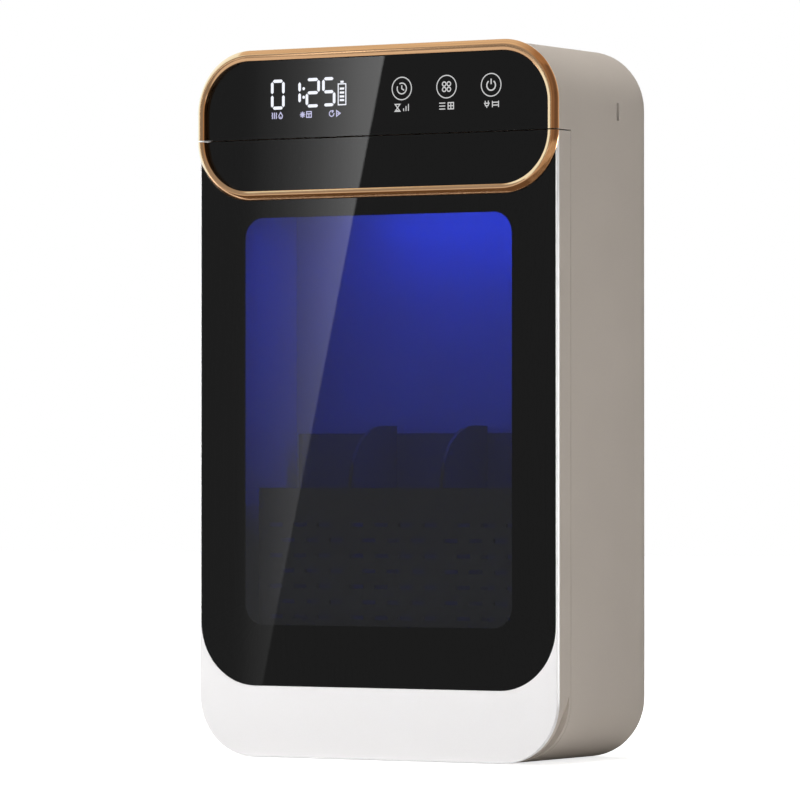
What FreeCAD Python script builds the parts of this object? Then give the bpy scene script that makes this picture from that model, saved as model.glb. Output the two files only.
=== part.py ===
import FreeCAD, Part
import math
import os
import Sketcher

# Chopstick sterilizer box: a wall or table cabinet with a blue-lit chamber, a glass door on the
# left-hand hinge, a fixed head with the display, and a rose-gold ring that the door seam splits.
# Millimetres. X runs to the right, Y from the front to the back, Z up. The pieces are drawn with
# Y = 0 on the front of the white face plate, and moved together at the end (see place_pieces).

SIZES = [
    # Whole body
    ("body_width", 198.0),
    ("body_top", 339.5),
    ("body_depth", 96.0),
    ("corner_round", 29.0),
    ("back_round", 14.0),
    ("case_wall", 2.5),
    ("back_wall", 3.5),
    ("foot_proud", 0.5),
    ("foot_sink", 1.5),
    ("foot_radius", 6.0),
    ("foot_inset", 39.0),
    ("foot_front", 28.0),
    ("foot_back_inset", 24.0),
    ("clearance", 0.3),
    ("seat_gap", 0.1),
    # Seam between the head and the door
    ("seam_height", 297.1),
    ("seam_gap", 0.6),
    ("chin_wall", 2.5),
    ("door_depth", 13.1),
    ("door_gap", 0.4),
    # Face plate, glass and black print
    ("plate_wall", 2.3),
    ("plate_rim", 0.65),
    ("plate_edge_round", 0.4),
    ("glass_sink", 0.2),
    ("mask_wall", 0.3),
    ("glass_bottom", 34.4),
    ("glass_round", 30.5),
    ("window_inset", 25.0),
    ("window_bottom", 63.7),
    ("window_drop", 37.4),
    ("window_round", 10.0),
    # Rose-gold ring
    ("ring_overhang", 1.2),
    ("ring_rise", 0.8),
    ("ring_width", 4.9),
    ("ring_height", 3.0),
    ("ring_side", 0.5),
    ("ring_slope", 2.7),
    ("ring_lip", 1.7),
    ("ring_lip_slope", 0.8),
    ("ring_hole_drop", 0.4),
    ("ring_drop", 29.0),
    ("ring_round", 30.0),
    # Door frame
    ("frame_web", 2.5),
    ("frame_side", 7.5),
    ("frame_foot", 14.0),
    ("frame_head", 6.0),
    ("frame_round", 20.0),
    ("web_margin", 3.0),
    ("groove_middle_x", 55.7),
    ("groove_middle_z", 42.0),
    ("groove_round", 44.4),
    ("groove_top", 34.0),
    # Hinge
    ("hinge_inset", 2.6),
    ("hinge_back", 3.8),
    ("hinge_low", 50.0),
    ("hinge_drop", 34.3),
    ("hinge_relief", 3.0),
    ("hinge_swing", 3.7),
    ("knuckle_radius", 2.2),
    ("knuckle_length", 8.0),
    ("knuckle_web", 1.6),
    ("pin_radius", 1.0),
    ("pin_fit", 0.05),
    ("pin_length", 22.0),
    # Door inner cover and gasket
    ("cover_wall", 1.9),
    ("cover_sink", 0.2),
    ("port_inset", 16.0),
    ("port_bottom", 52.0),
    ("port_drop", 26.8),
    ("port_round", 14.0),
    ("gasket_width", 2.6),
    ("gasket_height", 0.6),
    # Chamber liner
    ("chamber_inset", 13.0),
    ("chamber_bottom", 32.0),
    ("chamber_drop", 7.3),
    ("chamber_inset_back", 28.0),
    ("chamber_round", 8.0),
    ("liner_wall", 1.8),
    ("flange_rise", 7.7),
    # Magnets
    ("magnet_radius", 1.8),
    ("magnet_length", 3.0),
    ("magnet_inset", 5.2),
    ("magnet_low", 60.0),
    ("magnet_drop", 46.3),
    # Screws
    ("screw_radius", 1.4),
    ("screw_length", 9.0),
    ("head_radius", 2.6),
    ("head_height", 1.2),
    ("cross_width", 0.7),
    ("cross_depth", 0.7),
    ("screw_boss", 3.4),
    ("liner_screw_inset", 6.5),
    ("liner_screw_low", 22.0),
    ("liner_screw_rise", 3.7),
    ("liner_boss", 4.2),
    ("liner_boss_length", 14.0),
    ("cover_screw_inset", 15.0),
    ("cover_screw_low", 28.0),
    ("cover_screw_drop", 18.3),
    # Back cover
    ("hatch_inset", 27.0),
    ("hatch_bottom", 28.0),
    ("hatch_drop", 27.5),
    ("hatch_round", 12.0),
    ("hatch_wall", 2.0),
    ("hatch_ledge", 6.0),
    ("hatch_screw_inset", 3.2),
    ("hatch_screw_end", 32.0),
    ("hatch_boss_length", 8.0),
    ("vent_width", 2.4),
    ("vent_length", 34.0),
    ("vent_pitch", 6.0),
    # Steam slots in the head
    ("steam_inset", 36.6),
    ("steam_rise", 6.7),
    ("steam_height", 8.5),
    ("steam_width", 2.6),
    # Wall inserts
    ("insert_inset", 39.0),
    ("insert_drop", 17.5),
    ("insert_bore", 2.0),
    ("insert_radius", 3.0),
    ("insert_length", 8.0),
    ("insert_boss", 5.0),
    # Basket, dividers and drip tray
    ("tray_side_gap", 8.0),
    ("tray_front", 17.0),
    ("tray_depth", 47.0),
    ("tray_height", 8.0),
    ("tray_wall", 2.0),
    ("basket_foot_radius", 4.0),
    ("basket_foot_inset", 10.0),
    ("basket_lift", 6.0),
    ("basket_front_top", 129.5),
    ("basket_back_top", 156.0),
    ("basket_wall", 1.8),
    ("basket_floor", 2.0),
    ("basket_round", 5.0),
    ("slot_length", 7.6),
    ("slot_height", 1.9),
    ("slot_pitch", 13.6),
    ("slot_side", 32.0),
    ("slot_row_pitch", 7.4),
    ("slot_top_row", 111.8),
    ("drain_radius", 2.0),
    ("drain_pitch", 12.0),
    ("divider_wall", 1.6),
    ("divider_top", 159.5),
    ("divider_round", 30.0),
    # Ultraviolet lamp
    ("lamp_radius", 4.0),
    ("lamp_inset", 24.0),
    ("lamp_drop", 9.0),
    ("lamp_depth", 40.0),
    ("holder_width", 9.0),
    ("holder_depth", 13.0),
    ("holder_drop", 15.0),
    ("holder_grip", 5.0),
    ("reflector_wall", 0.8),
    ("reflector_flat", 12.0),
    ("reflector_spread", 34.0),
    ("reflector_drop", 6.0),
    # Fan, heater and grille
    ("fan_height", 85.0),
    ("fan_width", 40.0),
    ("fan_depth", 10.0),
    ("fan_bore", 18.6),
    ("fan_tip_gap", 0.7),
    ("fan_hub", 8.0),
    ("fan_hub_wall", 1.4),
    ("fan_mount_wall", 1.5),
    ("fan_strut", 3.0),
    ("shaft_radius", 1.0),
    ("bearing_wall", 1.6),
    ("blade_wall", 1.2),
    ("blade_pitch", 4.6),
    ("heater_depth", 5.6),
    ("heater_fin", 1.2),
    ("heater_fin_pitch", 4.0),
    ("heater_frame", 2.4),
    ("grille_radius", 20.0),
    ("grille_wall", 1.2),
    ("grille_slot", 2.2),
    ("grille_pitch", 4.4),
    # Battery
    ("cell_radius", 9.1),
    ("cell_length", 65.0),
    ("cell_drop", 67.0),
    ("cell_pitch", 21.0),
    ("cell_inset", 13.4),
    ("cradle_wall", 10.0),
    ("cradle_margin", 3.0),
    # Boards
    ("board_wall", 1.6),
    ("board_inset", 47.0),
    ("board_low", 138.0),
    ("board_top", 208.0),
    ("board_boss_length", 9.0),
    ("board_hole_inset", 5.0),
    ("display_board_inset_left", 27.0),
    ("display_board_inset_right", 17.0),
    ("display_board_rise", 5.1),
    ("display_board_drop", 5.5),
    ("display_board_front", 9.0),
    ("display_inset_left", 37.0),
    ("display_right", 12.0),
    ("display_rise", 8.6),
    ("display_drop", 11.5),
    ("chassis_wall", 2.0),
    ("key_first", 14.6),
    ("key_pitch", 24.45),
    ("key_drop", 20.5),
    ("key_radius", 5.0),
    ("key_hole", 7.0),
    # Charging socket
    ("socket_side", 42.0),
    ("socket_height", 50.0),
    ("socket_width", 9.0),
    ("socket_tall", 3.3),
    ("socket_depth", 7.5),
    ("socket_wall", 0.4),
    ("tongue_width", 6.6),
    ("tongue_tall", 0.7),
    ("tongue_sink", 1.0),
    ("socket_board_width", 18.0),
    ("socket_board_depth", 16.0),
    ("shelf_wall", 1.6),
]

SLOT_ROWS = 9
BASKET_BAYS = 3
SIDE_SLOTS = 3
BLADES = 7
STRUTS = 3
VENTS = 7
KEYS = 3
GROOVE_SIDE = [
    # depth and height of each corner of the groove's slanted side view
    (7.5, 34.0), (11.5, 34.0), (11.0, 20.0), (10.0, 8.0),
    (7.0, -1.0), (3.6, -1.0), (4.6, 8.0), (5.4, 20.0),
]
BOARD_PARTS = [
    # left, bottom, width, height and thickness of each part on the main board
    (-40.0, 186.0, 12.0, 12.0, 2.0),
    (-22.0, 188.0, 9.0, 9.0, 1.6),
    (-40.0, 146.0, 18.0, 14.0, 7.0),
    (-14.0, 146.0, 14.0, 12.0, 6.0),
    (6.0, 146.0, 10.0, 10.0, 5.0),
    (22.0, 148.0, 16.0, 8.0, 5.5),
    (10.0, 194.0, 26.0, 6.0, 5.0),
    (0.0, 168.0, 8.0, 6.0, 1.8),
    (16.0, 168.0, 8.0, 8.0, 1.8),
]

doc = FreeCAD.newDocument("chopstick_sterilizer")
sheet = doc.addObject("Spreadsheet::Sheet", "Sizes")
for row, (alias, number) in enumerate(SIZES, start=1):
    sheet.set("A%d" % row, alias)
    sheet.set("B%d" % row, str(number))
    sheet.setAlias("B%d" % row, alias)
doc.recompute()


class Size:
    """A length that carries its number and the spreadsheet expression that gives it."""

    def __init__(self, number, text):
        self.number = float(number)
        self.text = text

    def __add__(self, other):
        other = as_size(other)
        return Size(self.number + other.number, "(%s + %s)" % (self.text, other.text))

    def __radd__(self, other):
        return as_size(other) + self

    def __sub__(self, other):
        other = as_size(other)
        return Size(self.number - other.number, "(%s - %s)" % (self.text, other.text))

    def __rsub__(self, other):
        return as_size(other) - self

    def __mul__(self, factor):
        return Size(self.number * factor, "(%s * %s)" % (self.text, factor))

    __rmul__ = __mul__

    def __truediv__(self, factor):
        return Size(self.number / factor, "(%s / %s)" % (self.text, factor))

    def __neg__(self):
        return Size(-self.number, "(0 - %s)" % self.text)


def as_size(value):
    return value if isinstance(value, Size) else Size(value, "%s" % float(value))


class Sheet:
    """Reads the driving dimensions by name."""

    def __getattr__(self, alias):
        return Size(sheet.get(alias), "Sizes." + alias)


S = Sheet()


def bind(thing, prop, size):
    thing.setExpression(prop, as_size(size).text)


# ---------------------------------------------------------------- primitives and booleans

def box(label, x, y, z):
    thing = doc.addObject("Part::Box", label)
    for prop, axis, span in (("Length", "x", x), ("Width", "y", y), ("Height", "z", z)):
        bind(thing, prop, as_size(span[1]) - span[0])
        bind(thing, "Placement.Base." + axis, span[0])
    return thing


TURNS = {
    "x": FreeCAD.Rotation(FreeCAD.Vector(0, 1, 0), 90),
    "y": FreeCAD.Rotation(FreeCAD.Vector(1, 0, 0), -90),
    "z": FreeCAD.Rotation(),
}
ACROSS = {"x": "yz", "y": "xz", "z": "xy"}


def rod(label, axis, centre, radius, span):
    """A cylinder along one axis: centre gives its other two coordinates."""
    thing = doc.addObject("Part::Cylinder", label)
    thing.Placement = FreeCAD.Placement(FreeCAD.Vector(), TURNS[axis])
    bind(thing, "Radius", radius)
    bind(thing, "Height", as_size(span[1]) - span[0])
    bind(thing, "Placement.Base." + axis, span[0])
    for across, place in zip(ACROSS[axis], centre):
        bind(thing, "Placement.Base." + across, place)
    return thing


def rods(label, axis, centres, radius, span):
    return group(label, [rod(label + "_one", axis, centre, radius, span) for centre in centres])


def group(label, things):
    thing = doc.addObject("Part::Compound", label + "_set")
    thing.Links = things
    return thing


def join(label, *things):
    thing = doc.addObject("Part::MultiFuse", label + "_join")
    thing.Shapes = list(things)
    thing.Refine = True
    return thing


def cut(label, base, *tools):
    for tool in tools:
        thing = doc.addObject("Part::Cut", label + "_step")
        thing.Base = base
        thing.Tool = tool
        thing.Refine = True
        base = thing
    return base


def common(label, first, second):
    thing = doc.addObject("Part::Common", label)
    thing.Base = first
    thing.Tool = second
    return thing


# ---------------------------------------------------------------- sketches and bodies

PLANES = {"y": "XZ_Plane", "z": "XY_Plane", "x": "YZ_Plane"}


def new_sketch(body, label, axis, level):
    """A sketch across the axis, at the given level on it."""
    plane = [part for part in body.Origin.OriginFeatures if part.Role == PLANES[axis]][0]
    sketch = body.newObject("Sketcher::SketchObject", label)
    sketch.AttachmentSupport = [(plane, "")]
    sketch.MapMode = "FlatFace"
    bind(sketch, "AttachmentOffset.Base.z", -as_size(level) if axis == "y" else level)
    return sketch


def fix_point(sketch, line, point, place):
    for kind, value in zip(("DistanceX", "DistanceY"), place):
        if value is None:
            continue
        number = sketch.addConstraint(Sketcher.Constraint(kind, -1, 1, line, point, value.number))
        bind(sketch, "Constraints[%d]" % number, value)


def draw_outline(sketch, outline):
    """A rectangle with rounded lower and upper corners."""
    left, right, bottom, top, low_round, high_round = outline
    corners = [
        (left, bottom, 1, 1, low_round),
        (right, bottom, -1, 1, low_round),
        (right, top, -1, -1, high_round),
        (left, top, 1, -1, high_round),
    ]

    def touch(corner, level):
        x, z, inward, upward, turn = corner
        reach = turn.number if turn else 0.0
        if level:
            return FreeCAD.Vector(x.number + inward * reach, z.number, 0)
        return FreeCAD.Vector(x.number, z.number + upward * reach, 0)

    lines = []
    for side in range(4):
        level = side % 2 == 0
        ends = (touch(corners[side], level), touch(corners[(side + 1) % 4], level))
        lines.append(sketch.addGeometry(Part.LineSegment(*ends)))
        sketch.addConstraint(Sketcher.Constraint("Horizontal" if level else "Vertical", lines[-1]))
    for side, (x, z, inward, upward, turn) in enumerate(corners):
        before, after = lines[side - 1], lines[side]
        if turn is None:
            sketch.addConstraint(Sketcher.Constraint("Coincident", before, 2, after, 1))
            continue
        centre = FreeCAD.Vector(x.number + inward * turn.number, z.number + upward * turn.number, 0)
        circle = Part.Circle(centre, FreeCAD.Vector(0, 0, 1), turn.number)
        start = math.pi * (1 + side / 2)
        arc = sketch.addGeometry(Part.ArcOfCircle(circle, start, start + math.pi / 2))
        sketch.addConstraint(Sketcher.Constraint("Tangent", before, 2, arc, 1))
        sketch.addConstraint(Sketcher.Constraint("Tangent", arc, 2, after, 1))
        number = sketch.addConstraint(Sketcher.Constraint("Radius", arc, turn.number))
        bind(sketch, "Constraints[%d]" % number, turn)
    fix_point(sketch, lines[0], 1, (None, bottom))
    fix_point(sketch, lines[1], 1, (right, None))
    fix_point(sketch, lines[2], 1, (None, top))
    fix_point(sketch, lines[3], 1, (left, None))


def draw_polygon(sketch, points):
    count = len(points)
    corners = [FreeCAD.Vector(x.number, y.number, 0) for x, y in points]
    lines = []
    for index in range(count):
        line = Part.LineSegment(corners[index], corners[(index + 1) % count])
        lines.append(sketch.addGeometry(line))
    for index in range(count):
        sketch.addConstraint(Sketcher.Constraint("Coincident", lines[index - 1], 2, lines[index], 1))
        fix_point(sketch, lines[index], 1, points[index])


def pad(body, sketch, length, axis):
    feature = body.newObject("PartDesign::Pad", sketch.Name + "_pad")
    feature.Profile = sketch
    bind(feature, "Length", length)
    feature.Reversed = axis == "y"
    return feature


def prism(label, outline, span, axis="y"):
    """A body with one padded outline, from span[0] to span[1] along the axis."""
    body = doc.addObject("PartDesign::Body", label)
    sketch = new_sketch(body, label + "_sketch", axis, span[0])
    if len(outline) == 6:
        draw_outline(sketch, outline)
    else:
        draw_polygon(sketch, outline)
    pad(body, sketch, as_size(span[1]) - span[0], axis)
    return body


def soften(body, kind, size, keep, second=None):
    """Fillets or chamfers the edges of the body that keep() picks."""
    doc.recompute()
    base = body.Tip
    names = ["Edge%d" % (index + 1) for index, edge in enumerate(base.Shape.Edges) if keep(edge)]
    feature = body.newObject("PartDesign::" + kind, body.Name + "_" + kind.lower())
    feature.Base = (base, names)
    if second is not None:
        feature.ChamferType = "Two distances"
        bind(feature, "Size2", second)
    bind(feature, "Radius" if kind == "Fillet" else "Size", size)
    return feature


def on_level(level):
    def keep(edge):
        bounds = edge.BoundBox
        return abs(bounds.YMin - level.number) < 0.001 and abs(bounds.YMax - level.number) < 0.001
    return keep


def rounded(left, right, bottom, top, low_round=None, high_round=None):
    return (as_size(left), as_size(right), as_size(bottom), as_size(top), low_round, high_round)


def shrink(outline, margin):
    """The same outline, drawn in by a margin on every side."""
    left, right, bottom, top, low_round, high_round = outline
    low_round = low_round - margin if low_round else None
    high_round = high_round - margin if high_round else None
    return (left + margin, right - margin, bottom + margin, top - margin, low_round, high_round)


def lowered(outline, drop):
    left, right, bottom, top, low_round, high_round = outline
    return (left, right, bottom - drop, top - drop, low_round, high_round)


# ---------------------------------------------------------------- shared levels and outlines

half = S.body_width / 2
inner_half = half - S.case_wall
body_bottom = S.foot_proud
door_top = S.seam_height - S.seam_gap / 2
head_bottom = S.seam_height + S.seam_gap / 2
chin_top = head_bottom + S.chin_wall
case_front = S.door_depth + S.door_gap
case_back_inside = S.body_depth - S.back_wall
zero = as_size(0)

body_outline = rounded(-half, half, body_bottom, S.body_top, S.corner_round, S.corner_round)
body_inside = shrink(body_outline, S.case_wall)
door_outline = rounded(-half, half, body_bottom, door_top, S.corner_round)

hinge_x = -half + S.hinge_inset
hinge_y = S.door_depth - S.hinge_back
hinge_heights = (S.hinge_low, door_top - S.hinge_drop)

chamber_side = half - S.chamber_inset
chamber_top = door_top - S.chamber_drop
chamber_back = S.body_depth - S.chamber_inset_back
tray_side = chamber_side - S.tray_side_gap
lamp_height = chamber_top - S.lamp_drop
lamp_side = chamber_side - S.lamp_inset
hatch_side = half - S.hatch_inset
hatch_top = S.body_top - S.hatch_drop
magnet_side = half - S.magnet_inset
ring_bottom = door_top - S.ring_drop
key_height = S.body_top - S.key_drop

flange_front = case_front + S.clearance
flange_back = flange_front + S.liner_wall
screw_hole = S.screw_radius + S.clearance
tap_hole = S.screw_radius + S.pin_fit
sunk_head = S.head_height + S.seat_gap


def both_sides(side, levels):
    return [(sign * side, level) for sign in (-1, 1) for level in levels]


liner_screws_at = both_sides(half - S.liner_screw_inset,
                             (S.liner_screw_low, door_top + S.liner_screw_rise))
cover_screws_at = both_sides(half - S.cover_screw_inset,
                             (S.cover_screw_low, door_top - S.cover_screw_drop))
hatch_screws_at = both_sides(hatch_side - S.hatch_screw_inset, (
    S.hatch_bottom + S.hatch_screw_end,
    (S.hatch_bottom + hatch_top) / 2,
    hatch_top - S.hatch_screw_end,
))
inserts_at = both_sides(half - S.insert_inset, (S.body_top - S.insert_drop,))
feet_at = both_sides(half - S.foot_inset, (S.foot_front, S.body_depth - S.foot_back_inset))
magnets_at = [(magnet_side, z) for z in (S.magnet_low, door_top - S.magnet_drop)]


def screw_set(label, centres, face, inward):
    """Flat-head screws along Y with their heads sunk just under the face at Y = face."""
    screws = []
    for x, z in centres:
        top = face + inward * S.seat_gap
        neck = top + inward * S.head_height
        tip = top + inward * S.screw_length
        cross = top + inward * S.cross_depth

        def span(start, end):
            return (start, end) if inward > 0 else (end, start)

        head = rod(label + "_head", "y", (x, z), S.head_radius, span(top, neck))
        shank = rod(label + "_shank", "y", (x, z), S.screw_radius, span(neck, tip))
        arm = S.head_radius * 0.7
        thin = S.cross_width / 2
        upright = box(label + "_upright", (x - thin, x + thin), span(top, cross), (z - arm, z + arm))
        level = box(label + "_level", (x - arm, x + arm), span(top, cross), (z - thin, z + thin))
        screws.append(cut(label + "_screw", join(label + "_blank", head, shank), upright, level))
    return group(label, screws)


def screw_seats(label, centres, face, wall, inward):
    """Counterbores and through holes for a screw set in a plate whose face is at Y = face."""
    bed = face + inward * sunk_head
    far = face + inward * (wall + 1)
    if inward > 0:
        spans = ((face - 1, bed), (face, far))
    else:
        spans = ((bed, face + 1), (far, face))
    return [
        rods(label + "_bore", "y", centres, S.head_radius + S.clearance, spans[0]),
        rods(label + "_hole", "y", centres, screw_hole, spans[1]),
    ]


pieces = []


def piece(label, thing):
    """Keeps a finished piece under its own name."""
    if thing.isDerivedFrom("Part::Box") or thing.isDerivedFrom("Part::Cylinder"):
        thing.Label = label + "_blank"
        thing = group(label, [thing])
    thing.Label = label
    pieces.append(thing)
    return thing


# ---------------------------------------------------------------- casing and back

def make_casing():
    outer = prism("casing_outer", body_outline, (zero, S.body_depth))
    soften(outer, "Fillet", S.back_round, on_level(S.body_depth))
    cavity = prism("casing_cavity", body_inside, (case_front, case_back_inside))
    soften(cavity, "Fillet", S.back_round - S.case_wall, on_level(case_back_inside))
    door_space = box("casing_door_space", (-half - 1, half + 1), (-1, case_front), (-1, head_bottom))
    left, right, bottom, top, low_round, high_round = body_inside
    head_outline = rounded(left, right, chin_top, top, None, high_round)
    head_space = prism("casing_head_space", head_outline, (as_size(-1), case_front + 1))
    glass_outline = rounded(left, right, head_bottom - 1, top, None, high_round)
    glass_space = prism("casing_glass_space", glass_outline, (as_size(-1), S.plate_wall))

    hatch = rounded(-hatch_side, hatch_side, S.hatch_bottom, hatch_top,
                    S.hatch_round, S.hatch_round)
    hatch_space = prism("casing_hatch_space", hatch, (S.body_depth - S.hatch_wall, S.body_depth + 1))
    hatch_hole = prism("casing_hatch_hole", shrink(hatch, S.hatch_ledge),
                       (case_back_inside - 1, S.body_depth))
    shell = cut("casing_shell", outer, cavity, door_space, head_space, glass_space)

    liner_bosses = rods("casing_liner_boss", "y", liner_screws_at, S.liner_boss,
                        (flange_back, flange_back + S.liner_boss_length))
    hatch_bosses = rods("casing_hatch_boss", "y", hatch_screws_at, S.screw_boss,
                        (case_back_inside - S.hatch_boss_length, case_back_inside + 1))
    insert_bosses = rods("casing_insert_boss", "y", inserts_at, S.insert_boss,
                         (S.body_depth - S.insert_length - S.case_wall, case_back_inside + 1))
    knuckles = []
    for z in hinge_heights:
        reach = (z - S.knuckle_length / 2, z + S.knuckle_length / 2)
        knuckles.append(rod("casing_knuckle", "z", (hinge_x, hinge_y), S.knuckle_radius, reach))
        web = (-half + S.clearance * 2, -half + S.clearance * 2 + S.knuckle_web)
        knuckles.append(box("casing_knuckle_web", web, (hinge_y, case_front + 1), reach))
    shell = join("casing_joined", shell, liner_bosses, hatch_bosses, insert_bosses, *knuckles)

    tools = [hatch_space, hatch_hole]
    tools.append(rods("casing_liner_tap", "y", liner_screws_at, tap_hole,
                      (flange_front, flange_front + S.screw_length + 1)))
    tools.append(rods("casing_hatch_tap", "y", hatch_screws_at, tap_hole,
                      (S.body_depth - S.screw_length - 1, S.body_depth)))
    tools.append(rods("casing_insert_hole", "y", inserts_at, S.insert_radius + S.pin_fit,
                      (S.body_depth - S.insert_length, S.body_depth + 1)))
    tools.append(rods("casing_foot_recess", "z", feet_at, S.foot_radius + S.seat_gap,
                      (body_bottom - 1, body_bottom + S.foot_sink)))
    steam_middle = S.body_depth - S.steam_inset
    steam_low = head_bottom + S.steam_rise
    tools.append(box("casing_steam_slots", (-half - 1, half + 1),
                     (steam_middle - S.steam_width / 2, steam_middle + S.steam_width / 2),
                     (steam_low, steam_low + S.steam_height)))
    for z in hinge_heights:
        tools.append(rod("casing_knuckle_bore", "z", (hinge_x, hinge_y), S.pin_radius + S.pin_fit,
                         (z - S.knuckle_length, z + S.knuckle_length)))
    return piece("casing", cut("casing", shell, *tools))


def fan_spot():
    return (zero, S.fan_height)


def make_back_cover():
    hatch = rounded(-hatch_side, hatch_side, S.hatch_bottom, hatch_top,
                    S.hatch_round, S.hatch_round)
    front = S.body_depth - S.hatch_wall
    plate = prism("back_plate", shrink(hatch, S.clearance), (front, S.body_depth))
    bosses = rods("back_boss", "y", main_board_holes(), S.screw_boss,
                  (front - S.board_boss_length, front + 1))
    shelf = box("back_shelf", socket_span(S.socket_board_width),
                (front - S.socket_board_depth, front + 1),
                (socket_floor - S.board_wall - S.shelf_wall, socket_floor - S.board_wall))
    cover = join("back_joined", plate, bosses, shelf)
    tools = screw_seats("back_seat", hatch_screws_at, S.body_depth, S.hatch_wall, -1)
    tools.append(rods("back_tap", "y", main_board_holes(), tap_hole,
                      (front - S.board_boss_length - 1, front)))
    vents = []
    for index in range(VENTS):
        x = (index - (VENTS - 1) / 2) * S.vent_pitch
        vents.append(prism("back_vent", rounded(
            x - S.vent_width / 2, x + S.vent_width / 2,
            S.fan_height - S.vent_length / 2, S.fan_height + S.vent_length / 2,
            S.vent_width * 0.49, S.vent_width * 0.49), (front - 1, S.body_depth + 1)))
    tools.append(group("back_vents", vents))
    tools.append(prism("back_socket_hole", socket_outline(-S.seat_gap), (front - 1, S.body_depth + 1)))
    return piece("back_cover", cut("back_cover", cover, *tools))


# ---------------------------------------------------------------- door

def glass_edge():
    side = half - S.plate_rim
    return rounded(-side, side, S.glass_bottom, door_top, S.glass_round)


def make_face_plate():
    plate = prism("face_plate_blank", door_outline, (zero, S.plate_wall))

    def outer_front(edge):
        return on_level(zero)(edge) and edge.BoundBox.ZMin < door_top.number - 1
    soften(plate, "Fillet", S.plate_edge_round, outer_front)
    left, right, bottom, top, low_round, high_round = glass_edge()
    pocket = prism("face_plate_pocket", (left, right, bottom, top + 1, low_round, None),
                   (as_size(-1), S.plate_wall + 1))
    return piece("face_plate", cut("face_plate", plate, pocket))


def window(margin=0.0):
    side = half - S.window_inset + margin
    turn = S.window_round + margin
    top = door_top - S.window_drop + margin
    return rounded(-side, side, S.window_bottom - margin, top, turn, turn)


def make_front_glass():
    left, right, bottom, top, low_round, high_round = glass_edge()
    gap = S.seat_gap
    edge = (left + gap, right - gap, bottom + gap, top, low_round - gap, None)
    mask_front = S.plate_wall - S.mask_wall
    piece("front_glass", prism("front_glass", edge, (S.glass_sink, mask_front)))
    film = prism("front_mask_film", edge, (mask_front, S.plate_wall))
    hole = prism("front_mask_window", window(), (mask_front - 1, S.plate_wall + 1))
    piece("front_mask", cut("front_mask", film, hole))


def ring_blank(label):
    side = half + S.ring_overhang
    edge = rounded(-side, side, ring_bottom, S.body_top + S.ring_rise, S.ring_round, S.ring_round)
    front = -S.ring_height
    blank = prism(label + "_blank", edge, (front, zero))
    soften(blank, "Chamfer", S.ring_height - S.ring_side, on_level(front), S.ring_slope)
    opening = lowered(shrink(edge, S.ring_width), S.ring_hole_drop)
    hole = prism(label + "_hole", opening, (front - 1, as_size(1)))
    # The mouth is twice as wide as its lip needs, so that its slanted side runs on past the front.
    lip_end = front + S.ring_lip_slope
    mouth = prism(label + "_mouth", shrink(opening, -S.ring_lip * 2),
                  (front - S.ring_lip_slope * 2, lip_end))
    soften(mouth, "Chamfer", S.ring_lip_slope * 2, on_level(lip_end), S.ring_lip * 2)
    return cut(label + "_loop", blank, hole, mouth)


def make_rings():
    wide = (-half - 2, half + 2)
    deep = (-S.ring_height - 1, as_size(1))
    low = box("ring_low_half", wide, deep, (ring_bottom - 1, door_top))
    high = box("ring_high_half", wide, deep, (head_bottom, S.body_top + 2))
    piece("trim_ring_lower", common("trim_ring_lower", ring_blank("ring_lower"), low))
    piece("trim_ring_upper", common("trim_ring_upper", ring_blank("ring_upper"), high))


def frame_pocket(margin=0.0):
    side = half - S.frame_side - margin
    turn = S.frame_round - margin
    return rounded(-side, side, S.frame_foot + margin, door_top - S.frame_head - margin, turn, turn)


def make_door_frame():
    front = S.plate_wall
    solid = prism("frame_blank", door_outline, (front, S.door_depth))
    pocket = prism("frame_pocket", frame_pocket(), (front + S.frame_web, S.door_depth + 1))
    port = prism("frame_port", window(S.web_margin), (front - 1, front + S.frame_web + 1))
    shell = cut("frame_shell", solid, pocket, port)

    bosses = rods("frame_boss", "y", cover_screws_at, S.screw_boss,
                  (front + S.frame_web / 2, S.door_depth - S.cover_sink - S.cover_wall))
    shell = join("frame_joined", shell, bosses)

    corner = box("frame_groove_corner", (half - S.corner_round * 2, half + 1),
                 (S.plate_wall, S.door_depth), (-1, S.groove_top))
    round_rod = rod("frame_groove_rod", "y", (S.groove_middle_x, S.groove_middle_z), S.groove_round,
                    (zero, S.door_depth + 1))
    slant = prism("frame_groove_slant", [(as_size(y), as_size(z)) for y, z in GROOVE_SIDE],
                  (zero, half + 1), "x")
    groove = common("frame_groove", cut("frame_groove_crescent", corner, round_rod), slant)

    relief = prism("frame_relief", [
        (-half - 1, S.door_depth + 1),
        (-half - 1, S.door_depth - S.hinge_relief - 1),
        (-half, S.door_depth - S.hinge_relief),
        (-half + S.hinge_relief, S.door_depth),
        (-half + S.hinge_relief + 1, S.door_depth + 1),
    ], (as_size(-1), door_top + 1), "z")
    tools = [groove, relief]
    for z in hinge_heights:
        notch_reach = S.knuckle_length / 2 + S.clearance + S.seat_gap
        tools.append(box("frame_notch", (-half - 1, hinge_x + S.knuckle_radius + S.clearance + S.seat_gap),
                         (hinge_y - S.hinge_swing, S.door_depth + 1),
                         (z - notch_reach, z + notch_reach)))
        tools.append(rod("frame_pin_bore", "z", (hinge_x, hinge_y), S.pin_radius + S.pin_fit,
                         (z - S.pin_length / 2, z + S.pin_length / 2)))
    tools.append(rods("frame_magnet_bore", "y", magnets_at, S.magnet_radius + S.pin_fit,
                      (S.door_depth - S.magnet_length, S.door_depth + 1)))
    tools.append(rods("frame_cover_tap", "y", cover_screws_at, tap_hole, (front + 1, S.door_depth)))
    return piece("door_frame", cut("door_frame", shell, *tools))


def make_hinge_pins():
    for name, z in zip(("lower", "upper"), hinge_heights):
        reach = S.pin_length / 2 - S.seat_gap
        piece("hinge_pin_" + name, rod("hinge_pin_" + name, "z", (hinge_x, hinge_y), S.pin_radius,
                                       (z - reach, z + reach)))


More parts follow.
